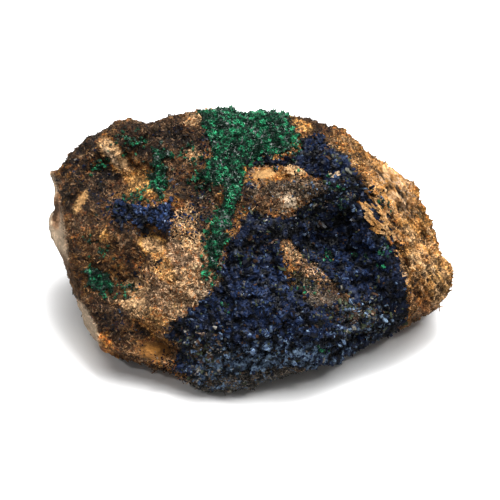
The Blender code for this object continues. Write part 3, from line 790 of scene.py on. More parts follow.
def spread_out(points, spacing):
    """Indices of the points that keep their distance from those before them."""
    grid, kept = {}, []
    for index, point in enumerate(points):
        cell = tuple(int(value) for value in np.floor(point / spacing))
        near = (
            other
            for step in NEIGHBOURS
            for other in grid.get(tuple(c + s for c, s in zip(cell, step)), ())
        )
        if all(np.sum((points[other] - point) ** 2) >= spacing**2 for other in near):
            grid.setdefault(cell, []).append(index)
            kept.append(index)
    return kept


def random_turns(outward, tilt, rng):
    """Rotation matrices that stand a shape's Z on a normal, tilted and twisted at random."""
    up = outward + tilt * rng.normal(size=outward.shape)
    up /= np.linalg.norm(up, axis=1)[:, None]
    side = np.cross(up, rng.normal(size=outward.shape))
    side /= np.linalg.norm(side, axis=1)[:, None]
    return np.stack([side, np.cross(up, side), up], axis=2)


def plant(name, shapes, places, size, habit, rng):
    """One joined mesh with a shape standing on each place.

    Each copy's random tone and the height along it become attributes. A habit is the copies'
    evenness, least and greatest size, tilt and how deep they are sunk. Gives back the places of
    the copies' roots, one for each vertex, as well.
    """
    points, outward = places
    evenness, least, greatest, tilt, sink = habit
    sizes = size * rng.gamma(evenness, 1 / evenness, len(points)).clip(least, greatest)
    turns = random_turns(outward, tilt, rng)
    choice = rng.integers(len(shapes), size=len(points))
    all_points, all_faces, tones, heights, roots = [], [], [], [], []
    first = 0
    for index, shape in enumerate(shapes):
        chosen = np.flatnonzero(choice == index)
        local = positions(shape.data)
        faces = [list(polygon.vertices) for polygon in shape.data.polygons]
        stretch = rng.uniform(*STRETCH, size=(len(chosen), 3))
        scaled = local[None] * (sizes[chosen][:, None] * stretch)[:, None, :]
        placed = np.einsum("nij,nvj->nvi", turns[chosen], scaled)
        base = points[chosen] - outward[chosen] * (sizes[chosen] * sink)[:, None]
        all_points.append((placed + base[:, None]).reshape(-1, 3))
        tones.append(np.repeat(rng.random(len(chosen)), len(local)))
        heights.append(np.tile(local[:, 2] / max(local[:, 2].max(), TINY), len(chosen)))
        roots.append(np.repeat(points[chosen], len(local), axis=0))
        for copy in range(len(chosen)):
            offset = first + copy * len(local)
            all_faces.extend([offset + corner for corner in face] for face in faces)
        first += len(chosen) * len(local)
    mesh = bpy.data.meshes.new(name)
    mesh.from_pydata(np.maximum(np.concatenate(all_points), ABOVE_FLOOR).tolist(), [], all_faces)
    set_attribute(mesh, "tone", np.concatenate(tones))
    set_attribute(mesh, "height", np.concatenate(heights))
    return new_object(name, mesh), np.concatenate(roots)


def on_face(patches, surface, rng, lift=0):
    """Places where lines of sight through patches of the face meet the surface, lifted off it."""
    points, outward = [], []
    for u0, v0, half_length, half_width, turn, count in patches:
        for along, across in rng.normal(scale=PATCH_SCATTER, size=(count, 2)):
            steps = along * half_length, across * half_width, math.radians(turn)
            place, normal = seen_through(*beside(u0, v0, *steps), surface)
            if place:
                points.append(place[:])
                outward.append(normal[:])
    return np.array(points) + np.array(outward) * lift * MM, np.array(outward)


def both(first, second):
    """Two sets of places, made one."""
    return [np.concatenate(pair) for pair in zip(first, second)]


def thinned(places, chosen):
    """Only the chosen ones of some places."""
    return [values[chosen] for values in places]


# ---------------------------------------------------------------- node helpers


def add_node(tree, kind, inputs=None, **values):
    made = tree.nodes.new(kind)
    for name, value in values.items():
        setattr(made, name, value)
    for key, value in (inputs or {}).items():
        if isinstance(value, bpy.types.NodeSocket):
            tree.links.new(value, made.inputs[key])
        else:
            made.inputs[key].default_value = value
    return made


def calculate(tree, operation, *numbers, clamp=False):
    inputs = dict(enumerate(numbers))
    return add_node(tree, "ShaderNodeMath", inputs, operation=operation, use_clamp=clamp).outputs[0]


def times(tree, *numbers):
    product, *rest = numbers
    for number in rest:
        product = calculate(tree, "MULTIPLY", product, number)
    return product


def times_plus(tree, first, second, third, clamp=False):
    return calculate(tree, "MULTIPLY_ADD", first, second, third, clamp=clamp)


def vectors(tree, operation, *given):
    inputs = dict(enumerate(given))
    return add_node(tree, "ShaderNodeVectorMath", inputs, operation=operation).outputs[0]


def shaded(tree, colour, shade):
    inputs = {0: colour, "Scale": shade}
    return add_node(tree, "ShaderNodeVectorMath", inputs, operation="SCALE").outputs[0]


def rotated(tree, vector, angle):
    inputs = {"Vector": vector, "Angle": angle}
    return add_node(tree, "ShaderNodeVectorRotate", inputs, rotation_type="Z_AXIS").outputs[0]


def mix(tree, factor, first, second, blend="MIX"):
    inputs = {0: factor, 6: rgba(first), 7: rgba(second)}
    values = {"data_type": "RGBA", "blend_type": blend, "clamp_result": True}
    return add_node(tree, "ShaderNodeMix", inputs, **values).outputs[2]


def rgba(colour):
    return colour if isinstance(colour, bpy.types.NodeSocket) else (*tuple(colour)[:3], 1)


def between(tree, value, low, high):
    """0 below low, 1 above high, smooth between them."""
    inputs = {0: value, 1: low, 2: high}
    return add_node(tree, "ShaderNodeMapRange", inputs, interpolation_type="SMOOTHSTEP").outputs[0]


def noise(tree, vector, scale, detail, roughness, distortion=0.0, output=0):
    """Cloudy noise from 0 to 1, or three of them as a colour."""
    inputs = {"Vector": vector, "Scale": scale, "Detail": detail, "Roughness": roughness}
    return add_node(tree, "ShaderNodeTexNoise", {**inputs, "Distortion": distortion}).outputs[output]


def cells(tree, vector, scale, output, **values):
    """One output of a cell pattern."""
    inputs = {"Vector": vector, "Scale": scale}
    return add_node(tree, "ShaderNodeTexVoronoi", inputs, **values).outputs[output]


def channels(tree, colour):
    return add_node(tree, "ShaderNodeSeparateColor", {0: colour}).outputs


def use_group(tree, group, inputs):
    return add_node(tree, "ShaderNodeGroup", inputs, node_tree=group).outputs


# ---------------------------------------------------------------- node groups


def new_group(name, inputs, outputs):
    tree = bpy.data.node_groups.new(name, "ShaderNodeTree")
    kinds = {"vector": "NodeSocketVector", "value": "NodeSocketFloat", "colour": "NodeSocketColor"}
    for sockets, side in ((inputs, "INPUT"), (outputs, "OUTPUT")):
        for label, kind in sockets.items():
            tree.interface.new_socket(name=label, in_out=side, socket_type=kinds[kind])
    return tree, add_node(tree, "NodeGroupInput").outputs, add_node(tree, "NodeGroupOutput").inputs


def face_group():
    """Turns object coordinates, in metres, into the face's frame, in millimetres."""
    tree, given, result = new_group("Face frame", {"Vector": "vector"}, {"Face": "vector"})
    inputs = {
        "Vector": given["Vector"],
        "Location": (0, -FACE_HEIGHT * LEAN_COS, -FACE_HEIGHT * LEAN_SIN),
        "Rotation": (FACE_LEAN - math.pi / 2, 0, 0),
        "Scale": (1 / MM,) * 3,
    }
    tree.links.new(add_node(tree, "ShaderNodeMapping", inputs).outputs[0], result["Face"])
    return tree


def patch_group():
    """1 inside an ellipse on the face, 0 outside it, with a soft edge."""
    sockets = {"Face": "vector", "Centre": "vector", "Half sizes": "vector", "Turn": "value", "Edge": "value"}
    tree, given, result = new_group("Stain patch", sockets, {"Mask": "value"})
    moved = vectors(tree, "SUBTRACT", given["Face"], given["Centre"])
    moved = rotated(tree, moved, times(tree, given["Turn"], -1.0))
    moved = vectors(tree, "DIVIDE", moved, given["Half sizes"])
    reach = add_node(tree, "ShaderNodeVectorMath", {0: moved}, operation="LENGTH").outputs["Value"]
    low = calculate(tree, "SUBTRACT", 1.0, given["Edge"])
    high = calculate(tree, "ADD", 1.0, given["Edge"])
    mask = calculate(tree, "SUBTRACT", 1.0, between(tree, reach, low, high))
    tree.links.new(mask, result["Mask"])
    return tree


def inside(tree, patch, place, edge):
    """Mask of one patch of a table."""
    u, v, half_length, half_width, turn = patch[:5]
    inputs = {"Face": place, "Centre": (u, v, 0), "Half sizes": (half_length, half_width, 1)}
    inputs |= {"Turn": math.radians(turn), "Edge": edge}
    return use_group(tree, shared["patch"], inputs)["Mask"]


def flattened(tree, place):
    return vectors(tree, "MULTIPLY", place, (1, 1, 0))


def mottle(tree, place):
    """The wide mottling that also covers the back."""
    wide = noise(tree, place, 0.07, 5.0, 0.62, 0.6)
    mid = noise(tree, place, 0.22, 5.0, 0.6, 0.4)
    colour = mix(tree, between(tree, wide, 0.38, 0.62), BROWN, OCHRE)
    colour = mix(tree, between(tree, mid, 0.52, 0.68), colour, TAN)
    return mix(tree, between(tree, mid, 0.47, 0.34), colour, UMBER)


def paint_stains_and_shade(tree, colour, place, soft, crisp):
    """Paints the tables' stains, and the painted shade among them, on the display side, and tells where the
    crisp ones are.
    """
    depth = add_node(tree, "ShaderNodeSeparateXYZ", {0: place}).outputs[2]
    ragged = noise(tree, place, 0.16, 4.0, 0.7)
    front = between(tree, times_plus(tree, ragged, RAGGED, depth), *STAIN_DEPTHS)
    worn = channels(tree, noise(tree, place, 0.42, 4.0, 0.65, output="Color"))
    worn = [times_plus(tree, between(tree, channel, 0.40, 0.54), 0.42, 0.58) for channel in worn[:3]]
    clean = 0.0
    for index, stain in enumerate(STAINS_AND_SHADE + CLEAN_STAINS):
        paint, strength = stain[5:]
        is_crisp = index >= len(STAINS_AND_SHADE)
        mask = inside(tree, stain, crisp if is_crisp else soft, STAIN_EDGE)
        mask = times(tree, mask, strength, front)
        if is_crisp:
            clean = calculate(tree, "MAXIMUM", clean, mask)
        elif paint in (SOOT_AND_SHADE, UMBER, BROWN):
            mask = times(tree, mask, worn[index % 3])
        colour = mix(tree, mask, colour, paint)
    return colour, clean


def paint_flank(tree, colour, place, soft, wobble):
    """Pale veins, long streaks and glassy cells on the right flank."""
    bent = vectors(tree, "MULTIPLY_ADD", wobble, (0.35,) * 3, place)
    net = cells(tree, bent, 0.85, "Distance", feature="DISTANCE_TO_EDGE")
    veins = times(tree, between(tree, net, 0.16, 0.05), inside(tree, VEINED, soft, 0.3))
    colour = mix(tree, times(tree, veins, 0.7), colour, QUARTZ)
    grain = vectors(tree, "MULTIPLY", rotated(tree, place, -SPLINTER_TURN), (0.42, 1.7, 0.7))
    streaks = noise(tree, grain, 1.0, 4.0, 0.7)
    cell = channels(tree, cells(tree, bent, 0.42, "Color"))[0]
    rim = cells(tree, bent, 0.42, "Distance", feature="DISTANCE_TO_EDGE")
    flank = inside(tree, SPLINTERED[0], soft, 0.25)
    for value, low, high, strength, paint in (
        (streaks, 0.46, 0.42, 0.85, UMBER),
        (streaks, 0.54, 0.62, 0.5, GOLD),
        (cell, 0.62, 0.66, 0.6, OCHRE),
        (cell, 0.24, 0.20, 0.5, CREAM),
        (rim, 0.12, 0.04, 0.5, HONEY),
    ):
        mask = times(tree, between(tree, value, low, high), flank, strength)
        colour = mix(tree, mask, colour, paint)
    return colour


def shade_crumbs(tree, colour, place, clean):
    """Crevices and crumbs, a fraction of a millimetre to two across, the crevices darkened as painted shade;
    also the finest flecks.
    """
    crumb = channels(tree, cells(tree, place, 1.7, "Color"))
    coarse = noise(tree, place, 0.5, 6.0, 0.7, 0.8)
    flecks = noise(tree, place, 1.5, 6.0, 0.75, 0.4)
    rusty = mix(tree, 1.0, colour, RUST_TINT, "MULTIPLY")
    tinted = times(tree, between(tree, crumb[2], 0.6, 0.9), 0.8, calculate(tree, "SUBTRACT", 1.0, clean))
    colour = mix(tree, tinted, colour, rusty)
    fine = add_node(tree, "ShaderNodeMapRange", {0: flecks, 1: 0.36, 2: 0.68}).outputs[0]
    patchy = times_plus(tree, between(tree, coarse, 0.40, 0.60), 0.72, 0.28)
    speckled = times_plus(tree, crumb[0], 0.9, 0.55)
    shade = times(tree, calculate(tree, "POWER", fine, 1.4), patchy, speckled)
    shade = times_plus(tree, shade, 2.15, 0.05)
    even = times_plus(tree, coarse, 1.3, 0.2)
    smoother = times(tree, clean, 0.75)
    shade = times_plus(tree, calculate(tree, "SUBTRACT", even, shade), smoother, shade)
    deep = mix(tree, 1.0, colour, DEEP_TINT, "MULTIPLY")
    colour = mix(tree, between(tree, shade, 0.55, 0.15), colour, deep)
    return shaded(tree, colour, shade), flecks


def stain_and_shade_group():
    """The stone's colour with its painted shade, with its crumbs and plain, and its finest flecks."""
    outputs = {"Colour": "colour", "Plain": "colour", "Speckle": "value"}
    tree, given, result = new_group("Stone stains and shade", {"Vector": "vector"}, outputs)
    place = use_group(tree, shared["face"], {"Vector": given["Vector"]})["Face"]
    wobble = noise(tree, place, 0.28, 4.0, 0.65, output="Color")
    wobble = vectors(tree, "MULTIPLY", vectors(tree, "SUBTRACT", wobble, (0.5,) * 3), (WOBBLE,) * 3)
    frayed = noise(tree, place, 1.1, 3.0, 0.7, output="Color")
    frayed = vectors(tree, "MULTIPLY_ADD", frayed, (FRAYING,) * 3, (-FRAYING / 2,) * 3)
    soft = flattened(tree, vectors(tree, "ADD", vectors(tree, "ADD", place, wobble), frayed))
    crisp = vectors(tree, "MULTIPLY_ADD", frayed, (0.6, 0.6, 0), place)
    crisp = flattened(tree, vectors(tree, "MULTIPLY_ADD", wobble, (0.2, 0.2, 0), crisp))
    colour, clean = paint_stains_and_shade(tree, mottle(tree, place), place, soft, crisp)
    colour = paint_flank(tree, colour, place, soft, wobble)
    tree.links.new(colour, result["Plain"])
    colour, flecks = shade_crumbs(tree, colour, place, clean)
    tree.links.new(colour, result["Colour"])
    tree.links.new(flecks, result["Speckle"])
    return tree


# ---------------------------------------------------------------- materials


def new_material(name, specular):
    """A material, its tree and the inputs of its shader."""
    material = bpy.data.materials.new(name)
    material.use_nodes = True
    tree = material.node_tree
    shader = tree.nodes["Principled BSDF"].inputs
    shader["Specular IOR Level"].default_value = specular
    return material, tree, shader


def object_place(tree):
    """Object coordinates in metres, and in the face's frame in millimetres."""
    place = add_node(tree, "ShaderNodeTexCoord").outputs["Object"]
    return place, use_group(tree, shared["face"], {"Vector": place})["Face"]


def attribute(tree, name):
    return add_node(tree, "ShaderNodeAttribute", attribute_name=name).outputs["Fac"]


def stone_material(name, grainy):
    """Iron-stained rock. The solid stone gets painted shade in its hollows and beside the crusts, and a
    painted highlight on its raised parts. Loose grains vary a little more from one to the next.
    """
    material, tree, shader = new_material(name, 0.22)
    place, millimetres = object_place(tree)
    # the colours of this group hold painted shade as well as stains
    stains = use_group(tree, shared["stains"], {"Vector": place})
    if grainy:
        tone = attribute(tree, "tone")
        pale = times(tree, calculate(tree, "COMPARE", tone, 0.86, 0.09), 0.2)
        colour = mix(tree, pale, stains["Plain"], TAN)
        green = times(tree, calculate(tree, "COMPARE", tone, 0.55, 0.05), 0.5)
        colour = mix(tree, green, colour, MOSS)
        colour = shaded(tree, colour, times_plus(tree, calculate(tree, "POWER", tone, 2.5), 1.5, 0.18))
    else:
        rise, colour = attribute(tree, "rise"), stains["Colour"]
        light = mix(tree, 1.0, colour, (RAISED_LIGHT,) * 3, "MULTIPLY")
        # painted shade: the stone darkens towards near-black beside the crusts
        crust_shade = times(tree, between(tree, attribute(tree, "near"), 0.2, 0.85), 0.55)
        colour = mix(tree, crust_shade, colour, mix(tree, 0.75, colour, SOOT_AND_SHADE))
        # painted shade in the hollows, where the surface sank, and a painted highlight on its raised parts
        colour = mix(tree, between(tree, rise, -0.4, -1.8), colour, mix(tree, 0.9, colour, SOOT_AND_SHADE))
        colour = mix(tree, between(tree, rise, 0.5, 2.0), colour, light)
    tree.links.new(colour, shader["Base Color"])
    tree.links.new(times_plus(tree, stains["Speckle"], 0.5, 0.42, clamp=True), shader["Roughness"])
    grit = noise(tree, millimetres, 1.9, 6.0, 0.75)
    bump = add_node(tree, "ShaderNodeBump", {"Height": grit, "Distance": BUMP, "Strength": 1.0})
    tree.links.new(bump.outputs[0], shader["Normal"])
    return material


def azurite_material():
    settings = bpy.context.scene.specimen_azurite
    material, tree, shader = new_material("azurite crystals", 0.14)
    millimetres = object_place(tree)[1]
    tone, dusty, vivid, soil = (attribute(tree, name) for name in ("tone", "dust", "vivid", "soil"))
    lit = times(tree, calculate(tree, "POWER", tone, 1.7), vivid)
    colour = mix(tree, lit, settings.deep, settings.bright)
    powder = between(tree, times_plus(tree, dusty, 0.65, tone), 0.93, 1.1)
    cloud = noise(tree, millimetres, 1.4, 4.0, 0.7)
    powder = times(tree, powder, between(tree, cloud, 0.36, 0.62))
    colour = mix(tree, powder, colour, settings.dust)
    soiled = between(tree, times_plus(tree, soil, -0.7, tone), 0.02, -0.02)
    kind = calculate(tree, "FRACT", times(tree, tone, 37.0))
    dirt = mix(tree, between(tree, kind, 0.3, 0.4), UMBER, MOSS)
    dirt = mix(tree, between(tree, kind, 0.75, 1.0), dirt, DRAB)
    colour = mix(tree, times(tree, soiled, 0.7), colour, dirt)
    # painted shade in the gaps between clumps of crystals, with their middles painted lighter
    gap_shade = cells(tree, millimetres, 0.5, "Distance")
    colour = shaded(tree, colour, times_plus(tree, between(tree, gap_shade, 0.75, 0.35), 1.35, 0.07))
    tree.links.new(colour, shader["Base Color"])
    rough = times_plus(tree, between(tree, tone, 0.96, 0.86), 0.40, 0.12)
    tree.links.new(times_plus(tree, powder, 0.4, rough, clamp=True), shader["Roughness"])
    return material


def malachite_material():
    settings = bpy.context.scene.specimen_malachite
    material, tree, shader = new_material("malachite tufts", 0.35)
    millimetres = object_place(tree)[1]
    # painted highlight towards each tuft's tips and painted shade at its root, varied by the tuft's random
    # tone; the cloud darkens patches at random
    light = times(tree, times_plus(tree, attribute(tree, "tone"), 0.9, 0.05), attribute(tree, "height"))
    cloud = noise(tree, millimetres, 0.5, 4.0, 0.7)
    light = calculate(tree, "MULTIPLY", light, between(tree, cloud, 0.42, 0.62), clamp=True)
    # painted shade in the gaps between clumps of tufts, with their middles painted lighter
    gap_shade = cells(tree, millimetres, 0.62, "Distance")
    light = times(tree, light, times_plus(tree, between(tree, gap_shade, 0.75, 0.3), 1.25, 0.15))
    tree.links.new(mix(tree, light, settings.deep, settings.tip), shader["Base Color"])
    shader["Roughness"].default_value = 0.36
    return material


def floor_material(settings):
    """White paper that throws little light back onto the stone."""
    material, tree, shader = new_material("studio floor", 0.1)
    seen = add_node(tree, "ShaderNodeLightPath").outputs["Is Camera Ray"]
    dim = [channel * settings.bounce for channel in settings.floor_colour]
    tree.links.new(mix(tree, seen, dim, settings.floor_colour), shader["Base Color"])
    shader["Roughness"].default_value = 0.95
    return material


# ---------------------------------------------------------------- stage


def aim(obj, target):
    obj.rotation_euler = (obj.location - target).to_track_quat("Z", "Y").to_euler()


def build_stage():
    settings = bpy.context.scene.specimen_stage
    scene = bpy.context.scene
    bpy.ops.mesh.primitive_plane_add(size=FLOOR_SIZE)
    floor = bpy.context.object
    floor.name = "studio_floor"
    floor.data.materials.append(floor_material(settings))
    target = Vector((0, 0, FACE_HEIGHT * MM))
    bpy.ops.object.camera_add(location=target + FACE_OUT * settings.distance)
    camera = bpy.context.object
    aim(camera, target)
    camera.data.lens = camera.data.sensor_width * settings.distance / settings.view_width
    camera.data.clip_start = 0.01
    scene.camera = camera
    scene.world = bpy.data.worlds.new("studio")
    scene.world.use_nodes = True
    tree = scene.world.node_tree
    seen = add_node(tree, "ShaderNodeLightPath").outputs["Is Camera Ray"]
    background = tree.nodes["Background"].inputs
    background["Color"].default_value = (1, 1, 1, 1)
    tree.links.new(times_plus(tree, seen, 1 - settings.fill, settings.fill), background["Strength"])
    for name, place, size, power in STUDIO_LIGHTS:
        bpy.ops.object.light_add(type="AREA", location=place)
        lamp = bpy.context.object
        lamp.name = name
        lamp.data.size = size
        lamp.data.energy = power
        aim(lamp, target)
    scene.view_settings.view_transform = "Standard"


# ---------------------------------------------------------------- stone


def weight_group(obj, name, weights):
    group = obj.vertex_groups.new(name=name)
    for step in range(1, WEIGHT_STEPS + 1):
        chosen = np.flatnonzero(np.round(weights * WEIGHT_STEPS) == step)
        group.add(chosen.tolist(), step / WEIGHT_STEPS, "REPLACE")


def close_to(crusts, points, reach):
    return np.array([crusts.find_nearest(Vector(point), reach * MM)[0] is not None for point in points])


def refine_bare_front(obj, crusts):
    """Halves the faces that show on the display side, outside the crusts."""
    edit(obj)
    bpy.ops.mesh.select_all(action="DESELECT")
    leave_edit()
    for polygon in obj.data.polygons:
        facing = polygon.normal.dot(FACE_OUT) > FACING
        polygon.select = facing and crusts.find_nearest(polygon.center, BARE_DISTANCE)[0] is None
    bpy.ops.object.mode_set(mode="EDIT")
    bpy.ops.mesh.select_mode(type="FACE")
    bpy.ops.mesh.subdivide(number_cuts=1)
    leave_edit()


def break_surface(stone, settings):
    """Splinters, blocks, chips and grit, the roughest away from the crusts."""
    splinters(stone, settings.splinter_depth)
    for size, depth in (
        (6.5, settings.crag_depth),
        (2.6, settings.chip_depth),
        (1.1, settings.chip_depth * FINE_CHIPS),
    ):
        relief(stone, "VORONOI", size, depth, CRACKED, vertex_group="rough", mid_level=0.17)
    relief(stone, "CLOUDS", 0.7, settings.grit_depth, {"noise_depth": 2}, vertex_group="rough")


def build_stone():
    settings = bpy.context.scene.specimen_stone
    stone = copy_of_node("matrix_rock", "weathered_rock")
    remesh(stone, settings.voxel, 1)
    crusts = tree_of_crusts()
    refine_bare_front(stone, crusts)
    before, outward = positions(stone.data), vectors_of(stone.data.vertex_normals, "vector")
    face = to_face(before)
    weight_group(stone, "splintered", patches_weight(face, SPLINTERED))
    rough = 1 - SMOOTHING * patches_weight(face, SMOOTH)
    rough[close_to(crusts, before, CALM_REACH)] *= CALM
    weight_group(stone, "rough", rough)
    rise = sum(patch_weight(face, knock) * knock[5] for knock in KNOCKS)
    knocked = before + outward * (rise * MM)[:, None]
    set_positions(stone.data, knocked)
    break_surface(stone, settings)
    after = np.clip(positions(stone.data), CAD_LOW, CAD_HIGH)
    after[before[:, 2] < BASE_HEIGHT, 2] = 0.0
    set_positions(stone.data, after)
    # how far each point moved out of the surface; the material paints shade where it sank and a highlight
    # where it rose
    moved = np.einsum("ij,ij->i", after - knocked, outward) / MM
    set_attribute(stone.data, "rise", (moved - moved.mean()) / moved.std())
    # nearness to a crust, which the material turns into painted shade
    distances = (crusts.find_nearest(Vector(point), SHADED_REACH)[3] for point in before)
    near = [0 if distance is None else 1 - distance / SHADED_REACH for distance in distances]
    set_attribute(stone.data, "near", near)
    stone.vertex_groups.clear()
    dress(stone, stone_material("weathered rock", grainy=False), "matrix", "matrix_rock")


def splinters(stone, depth):
    """Long broken ridges along one flank, from a texture stretched along the grain."""
    bpy.ops.object.empty_add()
    guide = bpy.context.object
    guide.rotation_euler = (math.pi / 2 - FACE_LEAN, 0, 0)
    guide.rotation_euler.rotate_axis("Z", SPLINTER_TURN)
    guide.scale = SPLINTER_STRETCH
    bpy.context.view_layer.update()
    values = {"texture_coords": "OBJECT", "texture_coords_object": guide}
    relief(stone, "CLOUDS", 1.6, depth * 2, {"noise_depth": 2}, vertex_group="splintered", **values)
    remove([guide])


# ---------------------------------------------------------------- crystal shapes


def finish_shape(name):
    leave_edit()
    bpy.context.object.name = name
    return bpy.context.object


def taper_top(scale_x, scale_y, shift_x):
    """Narrows the upper end of the shape in edit mode."""
    mesh = bpy.context.object.data
    leave_edit()
    for vert in mesh.vertices:
        vert.select = vert.co.z > 0.3
    for edge in mesh.edges:
        edge.select = all(mesh.vertices[index].select for index in edge.vertices)
    for polygon in mesh.polygons:
        polygon.select = all(mesh.vertices[index].select for index in polygon.vertices)
    bpy.ops.object.mode_set(mode="EDIT")
    bpy.ops.transform.resize(value=(scale_x, scale_y, 1))
    bpy.ops.transform.translate(value=(shift_x, 0, 0))


def azurite_shapes():
    """Short prisms with chisel-like ends, about one unit long, standing on z = 0 half sunk."""
    shapes = []
    for sides, radius, flat, tip_x, tip_y, shift, slant in AZURITE_FORMS:
        bpy.ops.mesh.primitive_cylinder_add(vertices=sides, radius=radius, depth=1.2)
        edit(bpy.context.object)
        bpy.ops.transform.resize(value=(1, flat, 1))
        taper_top(tip_x, tip_y, shift)
        bpy.ops.mesh.select_all(action="SELECT")
        end = (math.sin(slant), 0.15, math.cos(slant))
        bpy.ops.mesh.bisect(plane_co=(0, 0, 0.42), plane_no=end, clear_outer=True, use_fill=True)
        shapes.append(finish_shape("azurite_shape"))
    return shapes


def malachite_shapes():
    """Tufts of short blades that splay from one root."""
    shapes = []
    for seed in TUFT_SEEDS:
        rng = random.Random(seed)
        blades = []
        for number in range(6):
            bpy.ops.mesh.primitive_cone_add(vertices=4, radius1=0.21, radius2=0.09, depth=0.8)
            blade = bpy.context.object
            lean = rng.uniform(0.5, 1.05) if number else 0.0
            blade.rotation_euler = (lean, 0, number * 1.15 + rng.uniform(-0.3, 0.3))
            blade.location = blade.rotation_euler.to_matrix() @ Vector((0, 0, 0.32))
            work_on(blade)
            bpy.ops.object.transform_apply(location=True, rotation=True, scale=True)
            blades.append(blade)
        shapes.append(joined(blades[::-1], "malachite_shape"))
    return shapes


def grain_shapes():
    """Angular crumbs and slivers of rock and quartz."""
    shapes = []
    for seed, (ball, *sizes) in enumerate(GRAIN_FORMS, 3):
        if ball:
            bpy.ops.mesh.primitive_ico_sphere_add(subdivisions=1, radius=0.5)
        else:
            bpy.ops.mesh.primitive_cube_add(size=0.8)
        edit(bpy.context.object)
        bpy.ops.transform.vertex_random(offset=0.14, seed=seed)
        bpy.ops.transform.resize(value=sizes)
        shapes.append(finish_shape("grain_shape"))
    return shapes


def fibre_shapes():
    """Thin needles that lie along X."""
    shapes = []
    for length, width in FIBRE_FORMS:
        bpy.ops.mesh.primitive_cone_add(vertices=3, radius1=width / 2, radius2=0, depth=length)
        edit(bpy.context.object)
        bpy.ops.transform.rotate(value=math.pi / 2, orient_axis="Y")
        shapes.append(finish_shape("fibre_shape"))
    return shapes


# ---------------------------------------------------------------- crusts


def bed_name(node):
    return node.replace("crust", "bed") if "crust" in node else node + "_bed"


def crust_bed(node, material, slot):
    """The lumpy bed that a crust's crystals grow from."""
    bed = copy_of_node(node, bed_name(node))
    remesh(bed, BED_VOXEL, 2)
    relief(bed, "VORONOI", 2.4, 1.5 * MM, CRACKED, mid_level=0.35)
    relief(bed, "CLOUDS", 1.2, 1.0 * MM, {"noise_depth": 1})
    dress(bed, material, slot, node)
    return bed


def crust_places(beds, stone_tree, spacing, rng):
    """Evenly spread places on the outer side of the beds."""
    points, outward = [], []
    for bed in beds:
        area = sum(polygon.area for polygon in bed.data.polygons)
        for point, normal in zip(*surface_samples(bed, int(area / MM**2 * TRIES_PER_SQUARE_MM), rng)):
            stone_normal = stone_tree.find_nearest(Vector(point))[1]
            if stone_normal.dot(Vector(normal)) > OUTER_SIDE:
                points.append(point)
                outward.append(normal)
    places = np.array(points), np.array(outward)
    return thinned(places, spread_out(places[0], spacing))


def fringe_places(stone, crusts, count, reach, rng):
    """Places on the stone near a crust, fewer the further away."""
    places = surface_samples(stone, count, rng)
    chosen = []
    for index, point in enumerate(places[0]):
        distance = crusts.find_nearest(Vector(point), reach)[3]
        if distance is not None and distance > FRINGE_START:
            if rng.random() < (1 - distance / reach) ** FRINGE_FALL:
                chosen.append(index)
    return thinned(places, chosen)


def mark(obj, points, marks):
    """Attributes that tell how far each point lies in the patches of some tables."""
    face = to_face(points)
    for name, patches, least in marks:
        values = sum(patch_weight(face, patch) * patch[5] for patch in patches)
        set_attribute(obj.data, name, np.clip(values + least, 0, 1))


def grow(growth, settings, material, shapes, neighbours=()):
    """Beds, the crystals that stand on them and loose crystals on the stone around."""
    (slot, seed, nodes, marks), standing, loose = growth
    rng = np.random.default_rng(seed)
    stone = bpy.data.objects["weathered_rock"]
    beds = [crust_bed(node, material, slot) for node in nodes]
    for bed in beds:
        mark(bed, positions(bed.data), marks)
        set_attribute(bed.data, "tone", np.full(len(bed.data.vertices), BED_TONE))
    name, habit = standing
    places = crust_places(beds, tree_of([stone]), settings.spacing, rng)
    crystals, roots = plant(name, shapes, places, settings.size, habit, rng)
    mark(crystals, roots, marks)
    dress(crystals, material, slot)
    name, scale, habit, count, reach, specks, lift = loose
    surface = tree_of([stone] + beds + [bpy.data.objects[bed_name(node)] for node in neighbours])
    fringe = fringe_places(stone, tree_of(beds), count, reach * MM, rng)
    places = both(fringe, on_face(specks, surface, rng, lift))
    places = thinned(places, spread_out(places[0], LOOSE_SPACING))
    crystals, roots = plant(name, shapes, places, settings.size * scale, habit, rng)
    mark(crystals, roots, marks)
    dress(crystals, material, slot)
    remove(shapes)


def build_azurite():
    settings = bpy.context.scene.specimen_azurite
    grow(AZURITE_GROWTH, settings, azurite_material(), azurite_shapes())


def build_malachite():
    settings = bpy.context.scene.specimen_malachite
    grow(MALACHITE_GROWTH, settings, malachite_material(), malachite_shapes(), AZURITE_NODES)


# ---------------------------------------------------------------- grains


def bare_places(stone, crusts, counts, tries, clearance, rng):
    """Places clear of the crusts: some on the display side, then some on the back."""
    places = surface_samples(stone, sum(counts) * tries, rng)
    front = places[1] @ np.array(FACE_OUT) > GRAIN_FACING
    clear = ~close_to(crusts, places[0], clearance) & (places[0][:, 2] > LOWEST_GRAIN)
    rough = patches_weight(to_face(places[0]), SMOOTH) < rng.random(len(front)) * SMOOTH_LIMIT
    chosen = [np.flatnonzero(front & clear & rough)[: counts[0]], np.flatnonzero(~front & clear)[: counts[1]]]
    return thinned(places, np.concatenate(chosen))


